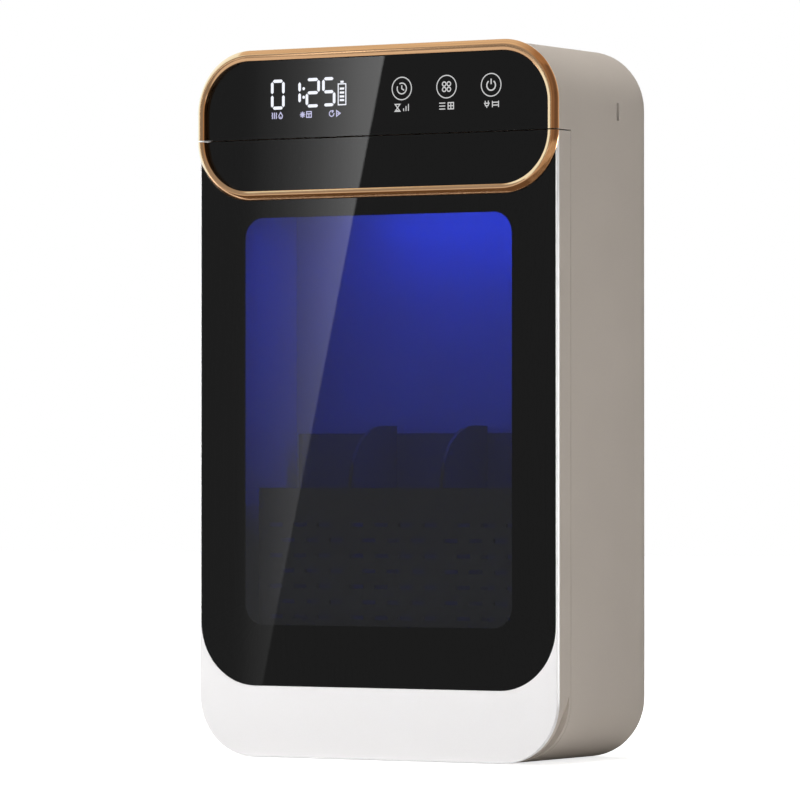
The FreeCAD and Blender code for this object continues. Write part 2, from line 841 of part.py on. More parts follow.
def make_door_cover():
    back = S.door_depth - S.cover_sink
    front = back - S.cover_wall
    plate = prism("door_cover_plate", frame_pocket(S.clearance), (front, back))
    port_side = half - S.port_inset
    port = prism("door_cover_port", rounded(
        -port_side, port_side, S.port_bottom, door_top - S.port_drop,
        S.port_round, S.port_round), (front - 1, back + 1))
    seats = screw_seats("door_cover_seat", cover_screws_at, back, S.cover_wall, -1)
    piece("door_inner_cover", cut("door_inner_cover", plate, port, *seats))
    piece("door_cover_screws", screw_set("door_cover_screws", cover_screws_at, back, -1))
    edge = frame_pocket(S.clearance * 2)
    outer = prism("gasket_outer", edge, (back, back + S.gasket_height))
    inner = prism("gasket_inner", shrink(edge, S.gasket_width), (back - 1, back + S.gasket_height + 1))
    piece("door_gasket", cut("door_gasket", outer, inner))
    piece("door_magnets", rods("door_magnets", "y", magnets_at, S.magnet_radius,
                               (S.door_depth - S.magnet_length, S.door_depth)))


# ---------------------------------------------------------------- chamber

def chamber(margin=0.0):
    side = chamber_side + margin
    turn = S.chamber_round + margin
    return rounded(-side, side, S.chamber_bottom - margin, chamber_top + margin, turn, turn)


def make_liner():
    left, right, bottom, top, low_round, high_round = shrink(body_inside, S.clearance)
    flange = prism("bezel_plate", (left, right, bottom, door_top + S.flange_rise, low_round, None),
                   (flange_front, flange_back))
    mouth = prism("bezel_mouth", chamber(), (flange_front - 1, flange_back + 1))
    tools = [mouth]
    tools += screw_seats("bezel_seat", liner_screws_at, flange_front, S.liner_wall, 1)
    tools.append(rods("bezel_magnet_bore", "y", magnets_at, S.magnet_radius + S.pin_fit,
                      (flange_front - 1, flange_back + 1)))
    piece("chamber_bezel", cut("chamber_bezel", flange, *tools))

    tub = prism("liner_tub", chamber(S.liner_wall), (flange_back, chamber_back + S.liner_wall))
    hollow = prism("liner_hollow", chamber(), (flange_back - 1, chamber_back))
    port = rod("liner_fan_port", "y", fan_spot(), S.fan_bore - 1,
               (chamber_back - 1, chamber_back + S.liner_wall + 1))
    piece("chamber_liner", cut("chamber_liner", tub, hollow, port))
    piece("liner_screws", screw_set("liner_screws", liner_screws_at, flange_front, 1))
    piece("case_magnets", rods("case_magnets", "y", magnets_at, S.magnet_radius,
                               (flange_front, flange_front + S.magnet_length)))


def tray_outline(margin=0.0):
    side = tray_side - margin
    turn = S.basket_round - margin
    return (-side, side, S.tray_front + margin, S.tray_front + S.tray_depth - margin,
            turn, turn)


def make_tray():
    low = S.chamber_bottom
    high = low + S.tray_height
    blank = prism("tray_blank", tray_outline(), (low, high), "z")
    hollow = prism("tray_hollow", tray_outline(S.tray_wall), (low + S.tray_wall, high + 1), "z")
    piece("drip_tray", cut("drip_tray", blank, hollow))


def make_basket():
    low = S.chamber_bottom + S.tray_height + S.basket_lift
    inset = S.basket_foot_inset
    middles = (S.tray_front + inset, S.tray_front + S.tray_depth - inset)
    piece("basket_feet", rods("basket_feet", "z", both_sides(tray_side - inset, middles),
                              S.basket_foot_radius, (S.chamber_bottom + S.tray_wall, low)))
    blank = prism("basket_blank", tray_outline(), (low, S.basket_back_top), "z")
    hollow = prism("basket_hollow", tray_outline(S.basket_wall), (low + S.basket_floor,
                                                                  S.basket_back_top + 1), "z")
    wide = (-half, half)
    back_plane = S.tray_front + S.tray_depth - S.basket_wall
    lowered = box("basket_lowered", wide, (S.tray_front - 1, back_plane - S.basket_round),
                  (S.basket_front_top, S.basket_back_top + 1))
    tools = [hollow, lowered]
    for row in range(SLOT_ROWS):
        z = S.slot_top_row - S.slot_row_pitch * row
        if row % 2:
            places = [index * S.slot_pitch for index in (-1, 0, 1)]
            first = S.slot_side
        else:
            places = [index * S.slot_pitch for index in (-1.5, -0.5, 0.5, 1.5)]
            first = S.slot_side + S.slot_pitch / 2
        for side in (-1, 1):
            places += [side * (first + index * S.slot_pitch) for index in range(SIDE_SLOTS)]
        slots = []
        for x in places:
            slots.append(box("basket_slot", (x - S.slot_length / 2, x + S.slot_length / 2),
                             (S.tray_front - 1, S.tray_front + S.basket_wall + 1),
                             (z - S.slot_height / 2, z + S.slot_height / 2)))
        tools.append(group("basket_row", slots))
    drains = []
    for column in range(-5, 6):
        for line in range(-1, 2):
            spot = (column * S.drain_pitch, S.tray_front + S.tray_depth / 2 + line * S.drain_pitch)
            drains.append(rod("basket_drain", "z", spot, S.drain_radius,
                              (low - 1, low + S.basket_floor + 1)))
    tools.append(group("basket_drains", drains))
    piece("cutlery_basket", cut("cutlery_basket", blank, *tools))

    floor = low + S.basket_floor
    bay = (tray_side - S.basket_wall) * 2 / BASKET_BAYS
    inside = (S.tray_front + S.basket_wall + S.clearance,
              S.tray_front + S.tray_depth - S.basket_wall - S.clearance)
    for name, line in (("left", -bay / 2), ("right", bay / 2)):
        plate = prism(name + "_divider", rounded(inside[0], inside[1], floor, S.divider_top),
                      (line - S.divider_wall / 2, line + S.divider_wall / 2), "x")

        def front_top(edge):
            bounds = edge.BoundBox
            return bounds.YMax < inside[0].number + 0.001 and bounds.ZMin > S.divider_top.number - 0.001
        soften(plate, "Fillet", S.divider_round, front_top)
        piece(name + "_divider", plate)


def make_lamp():
    side = lamp_side
    piece("uv_lamp", rod("uv_lamp", "x", (S.lamp_depth, lamp_height), S.lamp_radius, (-side, side)))
    for name, sign in (("left", -1), ("right", 1)):
        inner = side - S.holder_grip
        spans = sorted((sign * inner, sign * (inner + S.holder_width)), key=lambda size: size.number)
        block = box("lamp_holder_block", spans, (S.lamp_depth - S.holder_depth / 2,
                                                 S.lamp_depth + S.holder_depth / 2),
                    (chamber_top - S.holder_drop, chamber_top))
        bore = rod("lamp_holder_bore", "x", (S.lamp_depth, lamp_height), S.lamp_radius + S.pin_fit,
                   (-side, side))
        piece("lamp_holder_" + name, cut("lamp_holder_" + name, block, bore))
    top = chamber_top
    wall = S.reflector_wall
    flat = S.reflector_flat / 2
    spread = S.reflector_spread / 2
    middle = S.lamp_depth
    drop = top - S.reflector_drop
    reach = side - S.holder_grip - S.clearance
    piece("lamp_reflector", prism("lamp_reflector", [
        (middle - spread, drop), (middle - flat, top), (middle + flat, top), (middle + spread, drop),
        (middle + spread, drop - wall), (middle + flat, top - wall), (middle - flat, top - wall),
        (middle - spread, drop - wall),
    ], (-reach, reach), "x"))


# ---------------------------------------------------------------- drying fan and heater

heater_front = chamber_back + S.liner_wall
fan_front = heater_front + S.heater_depth
fan_back = fan_front + S.fan_depth


def make_heater():
    side = S.fan_width / 2
    block = box("heater_block", (-side, side), (heater_front, fan_front),
                (S.fan_height - side, S.fan_height + side))
    slots = []
    reach = side - S.heater_frame
    count = int((2 * reach.number) // S.heater_fin_pitch.number)
    for index in range(count):
        x = (index - (count - 1) / 2) * S.heater_fin_pitch
        gap = (S.heater_fin_pitch - S.heater_fin) / 2
        slots.append(box("heater_slot", (x - gap, x + gap), (heater_front - 1, fan_front + 1),
                         (S.fan_height - reach, S.fan_height + reach)))
    piece("ptc_heater", cut("ptc_heater", block, group("heater_slots", slots)))


def make_grille():
    front = chamber_back - S.grille_wall
    disc = rod("grille_disc", "y", fan_spot(), S.grille_radius, (front, chamber_back))
    slots = []
    for index in range(-3, 4):
        z = S.fan_height + index * S.grille_pitch
        half_chord = math.sqrt((S.grille_radius.number - 4) ** 2 - (index * S.grille_pitch.number) ** 2)
        share = half_chord / S.grille_radius.number
        slots.append(box("grille_slot", (-S.grille_radius * share, S.grille_radius * share),
                         (front - 1, chamber_back + 1), (z - S.grille_slot / 2, z + S.grille_slot / 2)))
    piece("air_grille", cut("air_grille", disc, group("grille_slots", slots)))


def make_fan():
    side = S.fan_width / 2
    centre = fan_spot()
    block = box("fan_block", (-side, side), (fan_front, fan_back),
                (S.fan_height - side, S.fan_height + side))
    duct = rod("fan_duct", "y", centre, S.fan_bore, (fan_front - 1, fan_back + 1))
    mount_front = fan_back - S.fan_mount_wall
    disc = rod("fan_mount", "y", centre, S.fan_hub, (mount_front, fan_back))
    bearing = rod("fan_bearing", "y", centre, S.shaft_radius + S.pin_fit + S.bearing_wall,
                  (fan_front + S.fan_mount_wall * 2, fan_back))
    struts = []
    for index in range(STRUTS):
        strut = doc.addObject("PartDesign::Body", "fan_strut")
        sketch = new_sketch(strut, "fan_strut_sketch", "y", zero)
        draw_outline(sketch, rounded(-S.fan_strut / 2, S.fan_strut / 2, S.fan_hub / 2, side - 1))
        pad(strut, sketch, S.fan_mount_wall, "y")
        strut.Placement = FreeCAD.Placement(
            FreeCAD.Vector(), FreeCAD.Rotation(FreeCAD.Vector(0, 1, 0), 360.0 * index / STRUTS))
        bind(strut, "Placement.Base.y", mount_front)
        bind(strut, "Placement.Base.z", S.fan_height)
        struts.append(strut)
    frame = join("fan_frame_joined", cut("fan_frame_block", block, duct), disc, bearing, *struts)
    bore = rod("fan_bearing_bore", "y", centre, S.shaft_radius + S.pin_fit, (fan_front, fan_back + 1))
    piece("fan_frame", cut("fan_frame", frame, bore))

    rotor = doc.addObject("PartDesign::Body", "fan_rotor")
    hub_front = S.clearance * 2
    hub_back = S.fan_depth - S.fan_mount_wall - S.clearance
    blade_sketch = new_sketch(rotor, "blade_sketch", "x", S.fan_hub - S.fan_hub_wall / 2)
    lean = S.blade_pitch / 2
    thin = S.blade_wall / 2
    draw_polygon(blade_sketch, [
        (hub_front, -lean - thin), (hub_back - S.clearance, lean - thin),
        (hub_back - S.clearance, lean + thin), (hub_front, -lean + thin),
    ])
    blade = pad(rotor, blade_sketch, S.fan_bore - S.fan_tip_gap - S.fan_hub + S.fan_hub_wall / 2, "x")
    hub_sketch = new_sketch(rotor, "hub_sketch", "y", hub_front)
    add_circle(hub_sketch, S.fan_hub)
    pad(rotor, hub_sketch, hub_back - hub_front, "y")
    doc.recompute()
    blades = rotor.newObject("PartDesign::PolarPattern", "blades")
    blades.Originals = [blade]
    blades.Axis = (hub_sketch, ["N_Axis"])
    blades.Angle = 360
    blades.Occurrences = BLADES
    rotor.Tip = blades
    doc.recompute()
    cup_sketch = new_sketch(rotor, "cup_sketch", "y", hub_front + S.fan_hub_wall)
    add_circle(cup_sketch, S.fan_hub - S.fan_hub_wall)
    cup = rotor.newObject("PartDesign::Pocket", "cup")
    cup.Profile = cup_sketch
    bind(cup, "Length", hub_back)
    cup.Reversed = False
    doc.recompute()
    shaft_sketch = new_sketch(rotor, "shaft_sketch", "y", hub_front)
    add_circle(shaft_sketch, S.shaft_radius)
    pad(rotor, shaft_sketch, hub_back - hub_front, "y")
    bind(rotor, "Placement.Base.y", fan_front)
    bind(rotor, "Placement.Base.z", S.fan_height)
    piece("fan_rotor", rotor)


def add_circle(sketch, radius):
    circle = Part.Circle(FreeCAD.Vector(), FreeCAD.Vector(0, 0, 1), radius.number)
    geometry = sketch.addGeometry(circle)
    sketch.addConstraint(Sketcher.Constraint("Coincident", geometry, 3, -1, 1))
    number = sketch.addConstraint(Sketcher.Constraint("Radius", geometry, radius.number))
    bind(sketch, "Constraints[%d]" % number, radius)


# ---------------------------------------------------------------- battery, boards and socket

def make_battery():
    side = S.cell_length / 2
    low = hatch_top - S.cell_drop
    depth = S.body_depth - S.cell_inset
    cells_at = [(depth, low), (depth, low + S.cell_pitch)]
    hatch_front = S.body_depth - S.hatch_wall
    piece("battery_cells", rods("battery_cells", "x", cells_at, S.cell_radius, (-side, side)))
    margin = S.cell_radius + S.cradle_margin
    reach = side + S.cradle_margin
    block = box("cradle_block", (-reach, reach), (hatch_front - S.cradle_wall, hatch_front),
                (low - margin, low + S.cell_pitch + margin))
    beds = rods("cradle_beds", "x", cells_at, S.cell_radius + S.seat_gap, (-side - S.seat_gap,
                                                                           side + S.seat_gap))
    piece("battery_cradle", cut("battery_cradle", block, beds))


def main_board_holes():
    side = half - S.board_inset - S.board_hole_inset
    return both_sides(side, (S.board_low + S.board_hole_inset, S.board_top - S.board_hole_inset))


def display_board_span():
    """Left, right, lower and upper edges of the display board."""
    return (-half + S.display_board_inset_left, half - S.display_board_inset_right,
            head_bottom + S.display_board_rise, S.body_top - S.display_board_drop)


def display_board_holes():
    inset = S.board_hole_inset - 1
    left, right, low, high = display_board_span()
    return [(x, z) for x in (left + inset, right - inset) for z in (low + inset, high - inset)]


def display_span():
    """Left, right, lower and upper edges of the display module."""
    return (-half + S.display_inset_left, -S.display_right,
            head_bottom + S.display_rise, S.body_top - S.display_drop)


def make_boards():
    back = S.body_depth - S.hatch_wall - S.board_boss_length
    front = back - S.board_wall
    side = half - S.board_inset
    board = box("main_board_plate", (-side, side), (front, back), (S.board_low, S.board_top))
    parts = []
    for left, low, wide, tall, thick in BOARD_PARTS:
        parts.append(box("main_board_part", (left, left + wide), (front - thick, front), (low, low + tall)))
    holes = rods("main_board_holes", "y", main_board_holes(), screw_hole, (front - 1, back + 1))
    piece("main_board", cut("main_board", join("main_board_joined", board, *parts), holes))
    first = board_screws("main_board_screws", main_board_holes(), front)

    front = S.display_board_front
    back = front + S.board_wall
    left, right, low, high = display_board_span()
    board = box("display_board_plate", (left, right), (front, back), (low, high))
    holes = rods("display_board_holes", "y", display_board_holes(), screw_hole, (front - 1, back + 1))
    piece("display_board", cut("display_board", board, holes))
    second = board_screws("display_board_screws", display_board_holes(), back, -1)
    piece("board_screws", group("board_screws", first + second))
    left, right, low, high = display_span()
    piece("display_module", box("display_module", (left, right), (S.plate_wall + S.clearance, front),
                                (low, high)))
    springs = [(S.key_first + index * S.key_pitch, key_height) for index in range(KEYS)]
    piece("touch_springs", rods("touch_springs", "y", springs, S.key_radius, (S.plate_wall, front)))


def board_screws(label, centres, face, inward=1):
    """Round-head screws that clamp a board, heads standing on its face at Y = face."""
    screws = []
    for x, z in centres:
        head = (face - S.head_height, face) if inward > 0 else (face, face + S.head_height)
        tip = face + inward * (S.screw_length - S.head_height - S.board_wall)
        shank = (face, tip) if inward > 0 else (tip, face)
        screws.append(join(label + "_one", rod(label + "_head", "y", (x, z), S.head_radius, head),
                           rod(label + "_shank", "y", (x, z), S.screw_radius, shank)))
    return screws


def make_head():
    left, right, bottom, top, low_round, high_round = shrink(body_inside, S.clearance)
    mask_front = S.plate_wall - S.mask_wall
    pane = (left, right, head_bottom, top, None, high_round)
    piece("display_glass", prism("display_glass", pane, (S.glass_sink, mask_front)))
    piece("display_mask", prism("display_mask", pane, (mask_front, S.plate_wall)))
    back = S.plate_wall + S.chassis_wall
    plate = prism("chassis_plate", (left, right, chin_top, top, None, high_round), (S.plate_wall, back))
    bosses = rods("chassis_bosses", "y", display_board_holes(), S.screw_boss - 0.4,
                  (back - 1, S.display_board_front))
    taps = rods("chassis_taps", "y", display_board_holes(), tap_hole, (S.plate_wall + 1, back + 10))
    left, right, low, high = display_span()
    port = box("chassis_port", (left - S.clearance, right + S.clearance), (zero, back + 1),
               (low - S.clearance, high + S.clearance))
    springs = [(S.key_first + index * S.key_pitch, key_height) for index in range(KEYS)]
    key_holes = rods("chassis_key_holes", "y", springs, S.key_hole, (zero, back + 1))
    piece("head_chassis", cut("head_chassis", join("chassis_joined", plate, bosses), taps, port, key_holes))


socket_floor = S.socket_height - S.socket_tall / 2


def socket_span(width):
    return (S.socket_side - width / 2, S.socket_side + width / 2)


def socket_outline(margin):
    side = S.socket_width / 2 - margin
    rise = S.socket_tall / 2 - margin
    turn = S.socket_tall * 0.45 - margin
    return rounded(S.socket_side - side, S.socket_side + side, S.socket_height - rise,
                   S.socket_height + rise, turn, turn)


def make_socket():
    back = S.body_depth - S.glass_sink
    front = back - S.socket_depth
    shell = prism("socket_shell", socket_outline(zero), (front, back))
    hollow = prism("socket_hollow", socket_outline(S.socket_wall), (front + S.socket_wall, back + 1))
    tongue = box("socket_tongue", socket_span(S.tongue_width), (front, back - S.tongue_sink),
                 (S.socket_height - S.tongue_tall / 2, S.socket_height + S.tongue_tall / 2))
    piece("charging_socket", join("charging_socket", cut("socket_can", shell, hollow), tongue))
    hatch_front = S.body_depth - S.hatch_wall
    piece("charging_board", box("charging_board", socket_span(S.socket_board_width),
                                (hatch_front - S.socket_board_depth, hatch_front),
                                (socket_floor - S.board_wall, socket_floor)))


def make_small_parts():
    piece("back_cover_screws", screw_set("back_cover_screws", hatch_screws_at, S.body_depth, -1))
    span = (S.body_depth - S.insert_length, S.body_depth)
    sleeves = rods("insert_sleeves", "y", inserts_at, S.insert_radius, span)
    bores = rods("insert_bores", "y", inserts_at, S.insert_bore, (span[0] - 1, span[1] + 1))
    piece("wall_inserts", cut("wall_inserts", sleeves, bores))
    piece("rubber_feet", rods("rubber_feet", "z", feet_at, S.foot_radius,
                              (zero, body_bottom + S.foot_sink)))


# ---------------------------------------------------------------- placing, testing and writing

def place_pieces():
    """Moves every piece so that the origin is under the middle of the whole box."""
    shift = (S.ring_height - S.body_depth) / 2
    for thing in pieces:
        offset = shift
        if thing.Label == "fan_rotor":
            offset = fan_front + shift
        bind(thing, "Placement.Base.y", offset)


def test_pieces():
    for thing in doc.Objects:
        faults = [state for state in thing.State if state in ("Invalid", "Error")]
        if faults:
            raise RuntimeError("%s is %s" % (thing.Label, faults))
    for thing in pieces:
        shape = thing.Shape
        if shape.isNull() or not shape.isValid() or not shape.Solids:
            raise RuntimeError("%s has no valid solid" % thing.Label)


def write_pieces():
    os.makedirs("parts", exist_ok=True)
    for thing in pieces:
        thing.Shape.exportStep("parts/%s.step" % thing.Label)
        bounds = thing.Shape.BoundBox
        print("%-20s %2d solids %9.1f mm3  x %7.1f %7.1f  y %6.1f %6.1f  z %6.1f %6.1f" % (
            thing.Label, len(thing.Shape.Solids), thing.Shape.Volume, bounds.XMin, bounds.XMax,
            bounds.YMin, bounds.YMax, bounds.ZMin, bounds.ZMax))


make_casing()
make_back_cover()
make_face_plate()
make_front_glass()
make_rings()
make_door_frame()
make_hinge_pins()
make_door_cover()
make_liner()
make_tray()
make_basket()
make_lamp()
make_heater()
make_grille()
make_fan()
make_battery()
make_boards()
make_head()
make_socket()
make_small_parts()
place_pieces()
doc.recompute()
test_pieces()
write_pieces()
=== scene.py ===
"""Looks of the chopstick sterilizer box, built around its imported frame. Metres, +Z up, -Y front."""
import math

import bmesh
import bpy
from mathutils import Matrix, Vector


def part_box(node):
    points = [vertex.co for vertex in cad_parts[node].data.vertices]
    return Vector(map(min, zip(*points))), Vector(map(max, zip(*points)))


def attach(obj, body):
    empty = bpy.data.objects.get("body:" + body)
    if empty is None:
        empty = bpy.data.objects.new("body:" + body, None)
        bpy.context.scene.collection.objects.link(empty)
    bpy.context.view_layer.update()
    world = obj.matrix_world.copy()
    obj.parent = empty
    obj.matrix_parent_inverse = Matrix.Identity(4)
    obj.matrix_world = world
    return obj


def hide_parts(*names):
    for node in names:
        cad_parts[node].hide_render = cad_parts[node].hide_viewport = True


MM = 0.001

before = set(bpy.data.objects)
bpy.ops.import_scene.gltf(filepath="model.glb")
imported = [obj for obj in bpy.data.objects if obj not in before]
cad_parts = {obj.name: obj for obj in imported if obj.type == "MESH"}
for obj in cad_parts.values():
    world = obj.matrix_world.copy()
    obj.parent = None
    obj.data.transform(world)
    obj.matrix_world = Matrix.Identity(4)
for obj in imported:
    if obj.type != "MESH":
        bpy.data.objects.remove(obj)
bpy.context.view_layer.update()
bpy.context.scene.view_settings.view_transform = "Standard"

# ---------------------------------------------------------------- places read from the frame

head_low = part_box("display_glass")[0]
plate_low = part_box("face_plate")[0]
liner_low, liner_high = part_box("chamber_liner")
lamp_low, lamp_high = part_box("uv_lamp")
ring_low, ring_seam_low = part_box("trim_ring_lower")
ring_seam_high, ring_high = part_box("trim_ring_upper")
FRONT = plate_low.y
GLASS_FRONT = head_low.y


def placed(name, data):
    """A new object in the scene that shows the data."""
    piece = bpy.data.objects.new(name, data)
    bpy.context.scene.collection.objects.link(piece)
    return piece


def finished(name, mesh):
    """A new object in the scene made of the bmesh, which is freed."""
    data = bpy.data.meshes.new(name)
    mesh.to_mesh(data)
    mesh.free()
    return placed(name, data)


# ---------------------------------------------------------------- camera

CAMERA_YAW = math.radians(30.885)
CAMERA_PITCH = math.radians(0.784)
CAMERA_DISTANCE = 2.6499
CAMERA_LENS = 251.6
CAMERA_SENSOR = 36.0
CAMERA_CLIP = (0.01, 100.0)
CAMERA_TARGET = Vector((13.73 * MM, FRONT, 171.25 * MM))


def make_camera():
    forward = Vector((
        -math.sin(CAMERA_YAW) * math.cos(CAMERA_PITCH),
        math.cos(CAMERA_YAW) * math.cos(CAMERA_PITCH),
        math.sin(CAMERA_PITCH),
    ))
    data = bpy.data.cameras.new("camera")
    data.lens = CAMERA_LENS
    data.sensor_width = CAMERA_SENSOR
    data.clip_start, data.clip_end = CAMERA_CLIP
    camera = placed("camera", data)
    camera.location = CAMERA_TARGET - forward * CAMERA_DISTANCE
    camera.rotation_euler = forward.to_track_quat("-Z", "Y").to_euler()
    bpy.context.scene.camera = camera


# ---------------------------------------------------------------- node helpers

# Places of the sockets of a Mix node that mixes colours.
MIX_FACTOR, MIX_UNDER, MIX_OVER, MIX_RESULT = 0, 6, 7, 2


class Shader:
    """A material with a Principled shader and short ways to add nodes to it."""

    def __init__(self, name):
        self.material = bpy.data.materials.new(name)
        self.material.use_nodes = True
        self.tree = self.material.node_tree
        self.shader = self.tree.nodes["Principled BSDF"]
        self.place = self.add("ShaderNodeTexCoord").outputs["Object"]

    def add(self, kind, **settings):
        node = self.tree.nodes.new(kind)
        for name, value in settings.items():
            setattr(node, name, value)
        return node

    def link(self, source, target):
        self.tree.links.new(source, target)

    def set(self, **values):
        for name, value in values.items():
            self.shader.inputs[name.replace("_", " ")].default_value = value

    def feed(self, **sources):
        """Links each source to the shader's socket of that name."""
        for name, source in sources.items():
            self.link(source, self.shader.inputs[name.replace("_", " ")])

    def give(self, value, socket):
        """Links the value if it is a socket, and else sets it."""
        if isinstance(value, bpy.types.NodeSocket):
            self.link(value, socket)
        else:
            socket.default_value = value

    def maths(self, operation, *values):
        node = self.add("ShaderNodeMath", operation=operation)
        for value, socket in zip(values, node.inputs):
            self.give(value, socket)
        return node.outputs[0]

    def mixed(self, under, over, factor, blend="MIX"):
        node = self.add("ShaderNodeMix", data_type="RGBA", blend_type=blend)
        for value, index in ((factor, MIX_FACTOR), (under, MIX_UNDER), (over, MIX_OVER)):
            self.give(value, node.inputs[index])
        return node.outputs[MIX_RESULT]

    def axes(self):
        """The object's own X, Y and Z, by name."""
        split = self.add("ShaderNodeSeparateXYZ")
        self.link(self.place, split.inputs[0])
        return split.outputs

    def noise(self, scale, detail=3.0, roughness=0.5, stretch=None):
        """Noise at the shader's place, scale in cells per metre, stretched along the axes."""
        node = self.add("ShaderNodeTexNoise")
        node.inputs["Scale"].default_value = scale
        node.inputs["Detail"].default_value = detail
        node.inputs["Roughness"].default_value = roughness
        place = self.place
        if stretch:
            mapping = self.add("ShaderNodeMapping")
            mapping.inputs["Scale"].default_value = stretch
            self.link(place, mapping.inputs["Vector"])
            place = mapping.outputs["Vector"]
        self.link(place, node.inputs["Vector"])
        return node.outputs["Fac"]

    def ramp(self, source, stops):
        node = self.add("ShaderNodeValToRGB")
        elements = node.color_ramp.elements
        while len(elements) < len(stops):
            elements.new(0.5)
        for element, (position, colour) in zip(elements, stops):
            element.position = position
            element.color = colour if len(colour) == 4 else (*colour, 1.0)
        self.link(source, node.inputs["Fac"])
        return node.outputs["Color"]

    def vary(self, source, low, high):
        """low where the source is 0 and high where it is 1."""
        node = self.add("ShaderNodeMapRange")
        node.inputs["To Min"].default_value = low
        node.inputs["To Max"].default_value = high
        self.link(source, node.inputs["Value"])
        return node.outputs["Result"]

    def between(self, value, low, high):
        """0 at low and 1 at high."""
        node = self.add("ShaderNodeMapRange")
        node.inputs["From Min"].default_value = low
        node.inputs["From Max"].default_value = high
        self.link(value, node.inputs["Value"])
        return node.outputs["Result"]

    def bump(self, height, depth):
        node = self.add("ShaderNodeBump")
        node.inputs["Distance"].default_value = depth
        node.inputs["Strength"].default_value = 1.0
        self.link(height, node.inputs["Height"])
        return node.outputs["Normal"]


def grey(level):
    return (level, level, level)


def shade(colour, factor):
    return tuple(min(1.0, channel * factor) for channel in colour)


def moulded(name, colour, roughness, grain=2600.0, depth=0.01 * MM, drift=0.03, specular=0.5):
    """Moulded plastic: fine spark-eroded grain, and a slow drift of tone and gloss."""
    s = Shader(name)
    cloud = s.noise(14.0, 2.0)
    fine = s.noise(grain, 4.0, 0.6)
    tone = s.ramp(cloud, [(0.3, shade(colour, 1 - drift)), (0.7, shade(colour, 1 + drift))])
    specks = s.ramp(fine, [(0.35, grey(0.94)), (0.65, grey(1.0))])
    gloss = s.vary(s.noise(60.0, 3.0), roughness - 0.04, roughness + 0.05)
    s.feed(Base_Color=s.mixed(tone, specks, 0.5, "MULTIPLY"), Roughness=gloss,
           Normal=s.bump(fine, depth))
    s.set(Specular_IOR_Level=specular)
    return s.material


def metal(name, colour, roughness, brushing=(1.0, 1.0, 1.0)):
    """Metal with fine brushing along the axis that is stretched least."""
    s = Shader(name)
    lines = s.noise(900.0, 5.0, 0.65, brushing)
    s.feed(Base_Color=s.ramp(lines, [(0.3, shade(colour, 0.88)), (0.7, shade(colour, 1.08))]),
           Roughness=s.vary(lines, roughness * 0.8, roughness * 1.25),
           Normal=s.bump(lines, 0.004 * MM))
    s.set(Metallic=1.0)
    return s.material


def polished_metal(name, colour, roughness):
    """Metal polished along the piece: long faint streaks that follow its UV length."""
    s = Shader(name)
    s.place = s.place.node.outputs["UV"]
    streaks = s.noise(1.0, 4.0, 0.6, (14.0, 2600.0, 1.0))
    cloud = s.noise(1.0, 2.0, 0.5, (30.0, 200.0, 1.0))
    s.feed(Base_Color=s.ramp(streaks, [(0.3, shade(colour, 0.84)), (0.7, shade(colour, 1.1))]),
           Roughness=s.vary(cloud, roughness * 0.7, roughness * 1.4),
           Normal=s.bump(streaks, 0.003 * MM))
    s.set(Metallic=1.0)
    return s.material


GLASS_IOR = 1.45


def glass(name, colour):
    """Tinted glass with the faintest float-line waviness."""
    s = Shader(name)
    wave = s.noise(25.0, 1.0)
    s.feed(Base_Color=s.ramp(wave, [(0.0, shade(colour, 0.97)), (1.0, colour)]),
           Roughness=s.vary(wave, 0.0, 0.01))
    s.set(Transmission_Weight=1.0, IOR=GLASS_IOR)
    return s.material


def print_black(name):
    """Screen-printed black ink: dense, with a faint mesh texture."""
    s = Shader(name)
    mesh = s.noise(4000.0, 2.0)
    ink = s.ramp(mesh, [(0.3, (0.0035, 0.0035, 0.004)), (0.7, (0.006, 0.006, 0.0065))])
    s.feed(Base_Color=ink, Roughness=s.vary(mesh, 0.45, 0.6), Normal=s.bump(mesh, 0.002 * MM))
    return s.material


def glowing(name, colour, strength, base=(0.02, 0.02, 0.02)):
    """A lit mark: emission slightly uneven, as behind a diffuser."""
    s = Shader(name)
    uneven = s.noise(700.0, 2.0)
    s.feed(Emission_Color=s.ramp(uneven, [(0.2, shade(colour, 0.92)), (0.8, colour)]))
    s.set(Base_Color=(*base, 1.0), Emission_Strength=strength, Roughness=0.4)
    return s.material


def circuit_board(name):
    """Green solder mask with lighter tracks in a brick pattern."""
    s = Shader(name)
    tracks = s.add("ShaderNodeTexBrick")
    tracks.inputs["Scale"].default_value = 260.0
    tracks.inputs["Mortar Size"].default_value = 0.02
    tracks.inputs["Color1"].default_value = (0.012, 0.085, 0.035, 1)
    tracks.inputs["Color2"].default_value = (0.010, 0.070, 0.030, 1)
    tracks.inputs["Mortar"].default_value = (0.03, 0.16, 0.06, 1)
    mapping = s.add("ShaderNodeMapping")
    mapping.inputs["Rotation"].default_value = (math.radians(90), 0, 0)
    s.link(s.place, mapping.inputs["Vector"])
    s.link(mapping.outputs["Vector"], tracks.inputs["Vector"])
    s.feed(Base_Color=tracks.outputs["Color"], Normal=s.bump(tracks.outputs["Fac"], 0.02 * MM))
    s.set(Roughness=0.35)
    return s.material


# ---------------------------------------------------------------- materials

BEIGE = (0.60, 0.535, 0.472)
WHITE = (0.86, 0.845, 0.845)


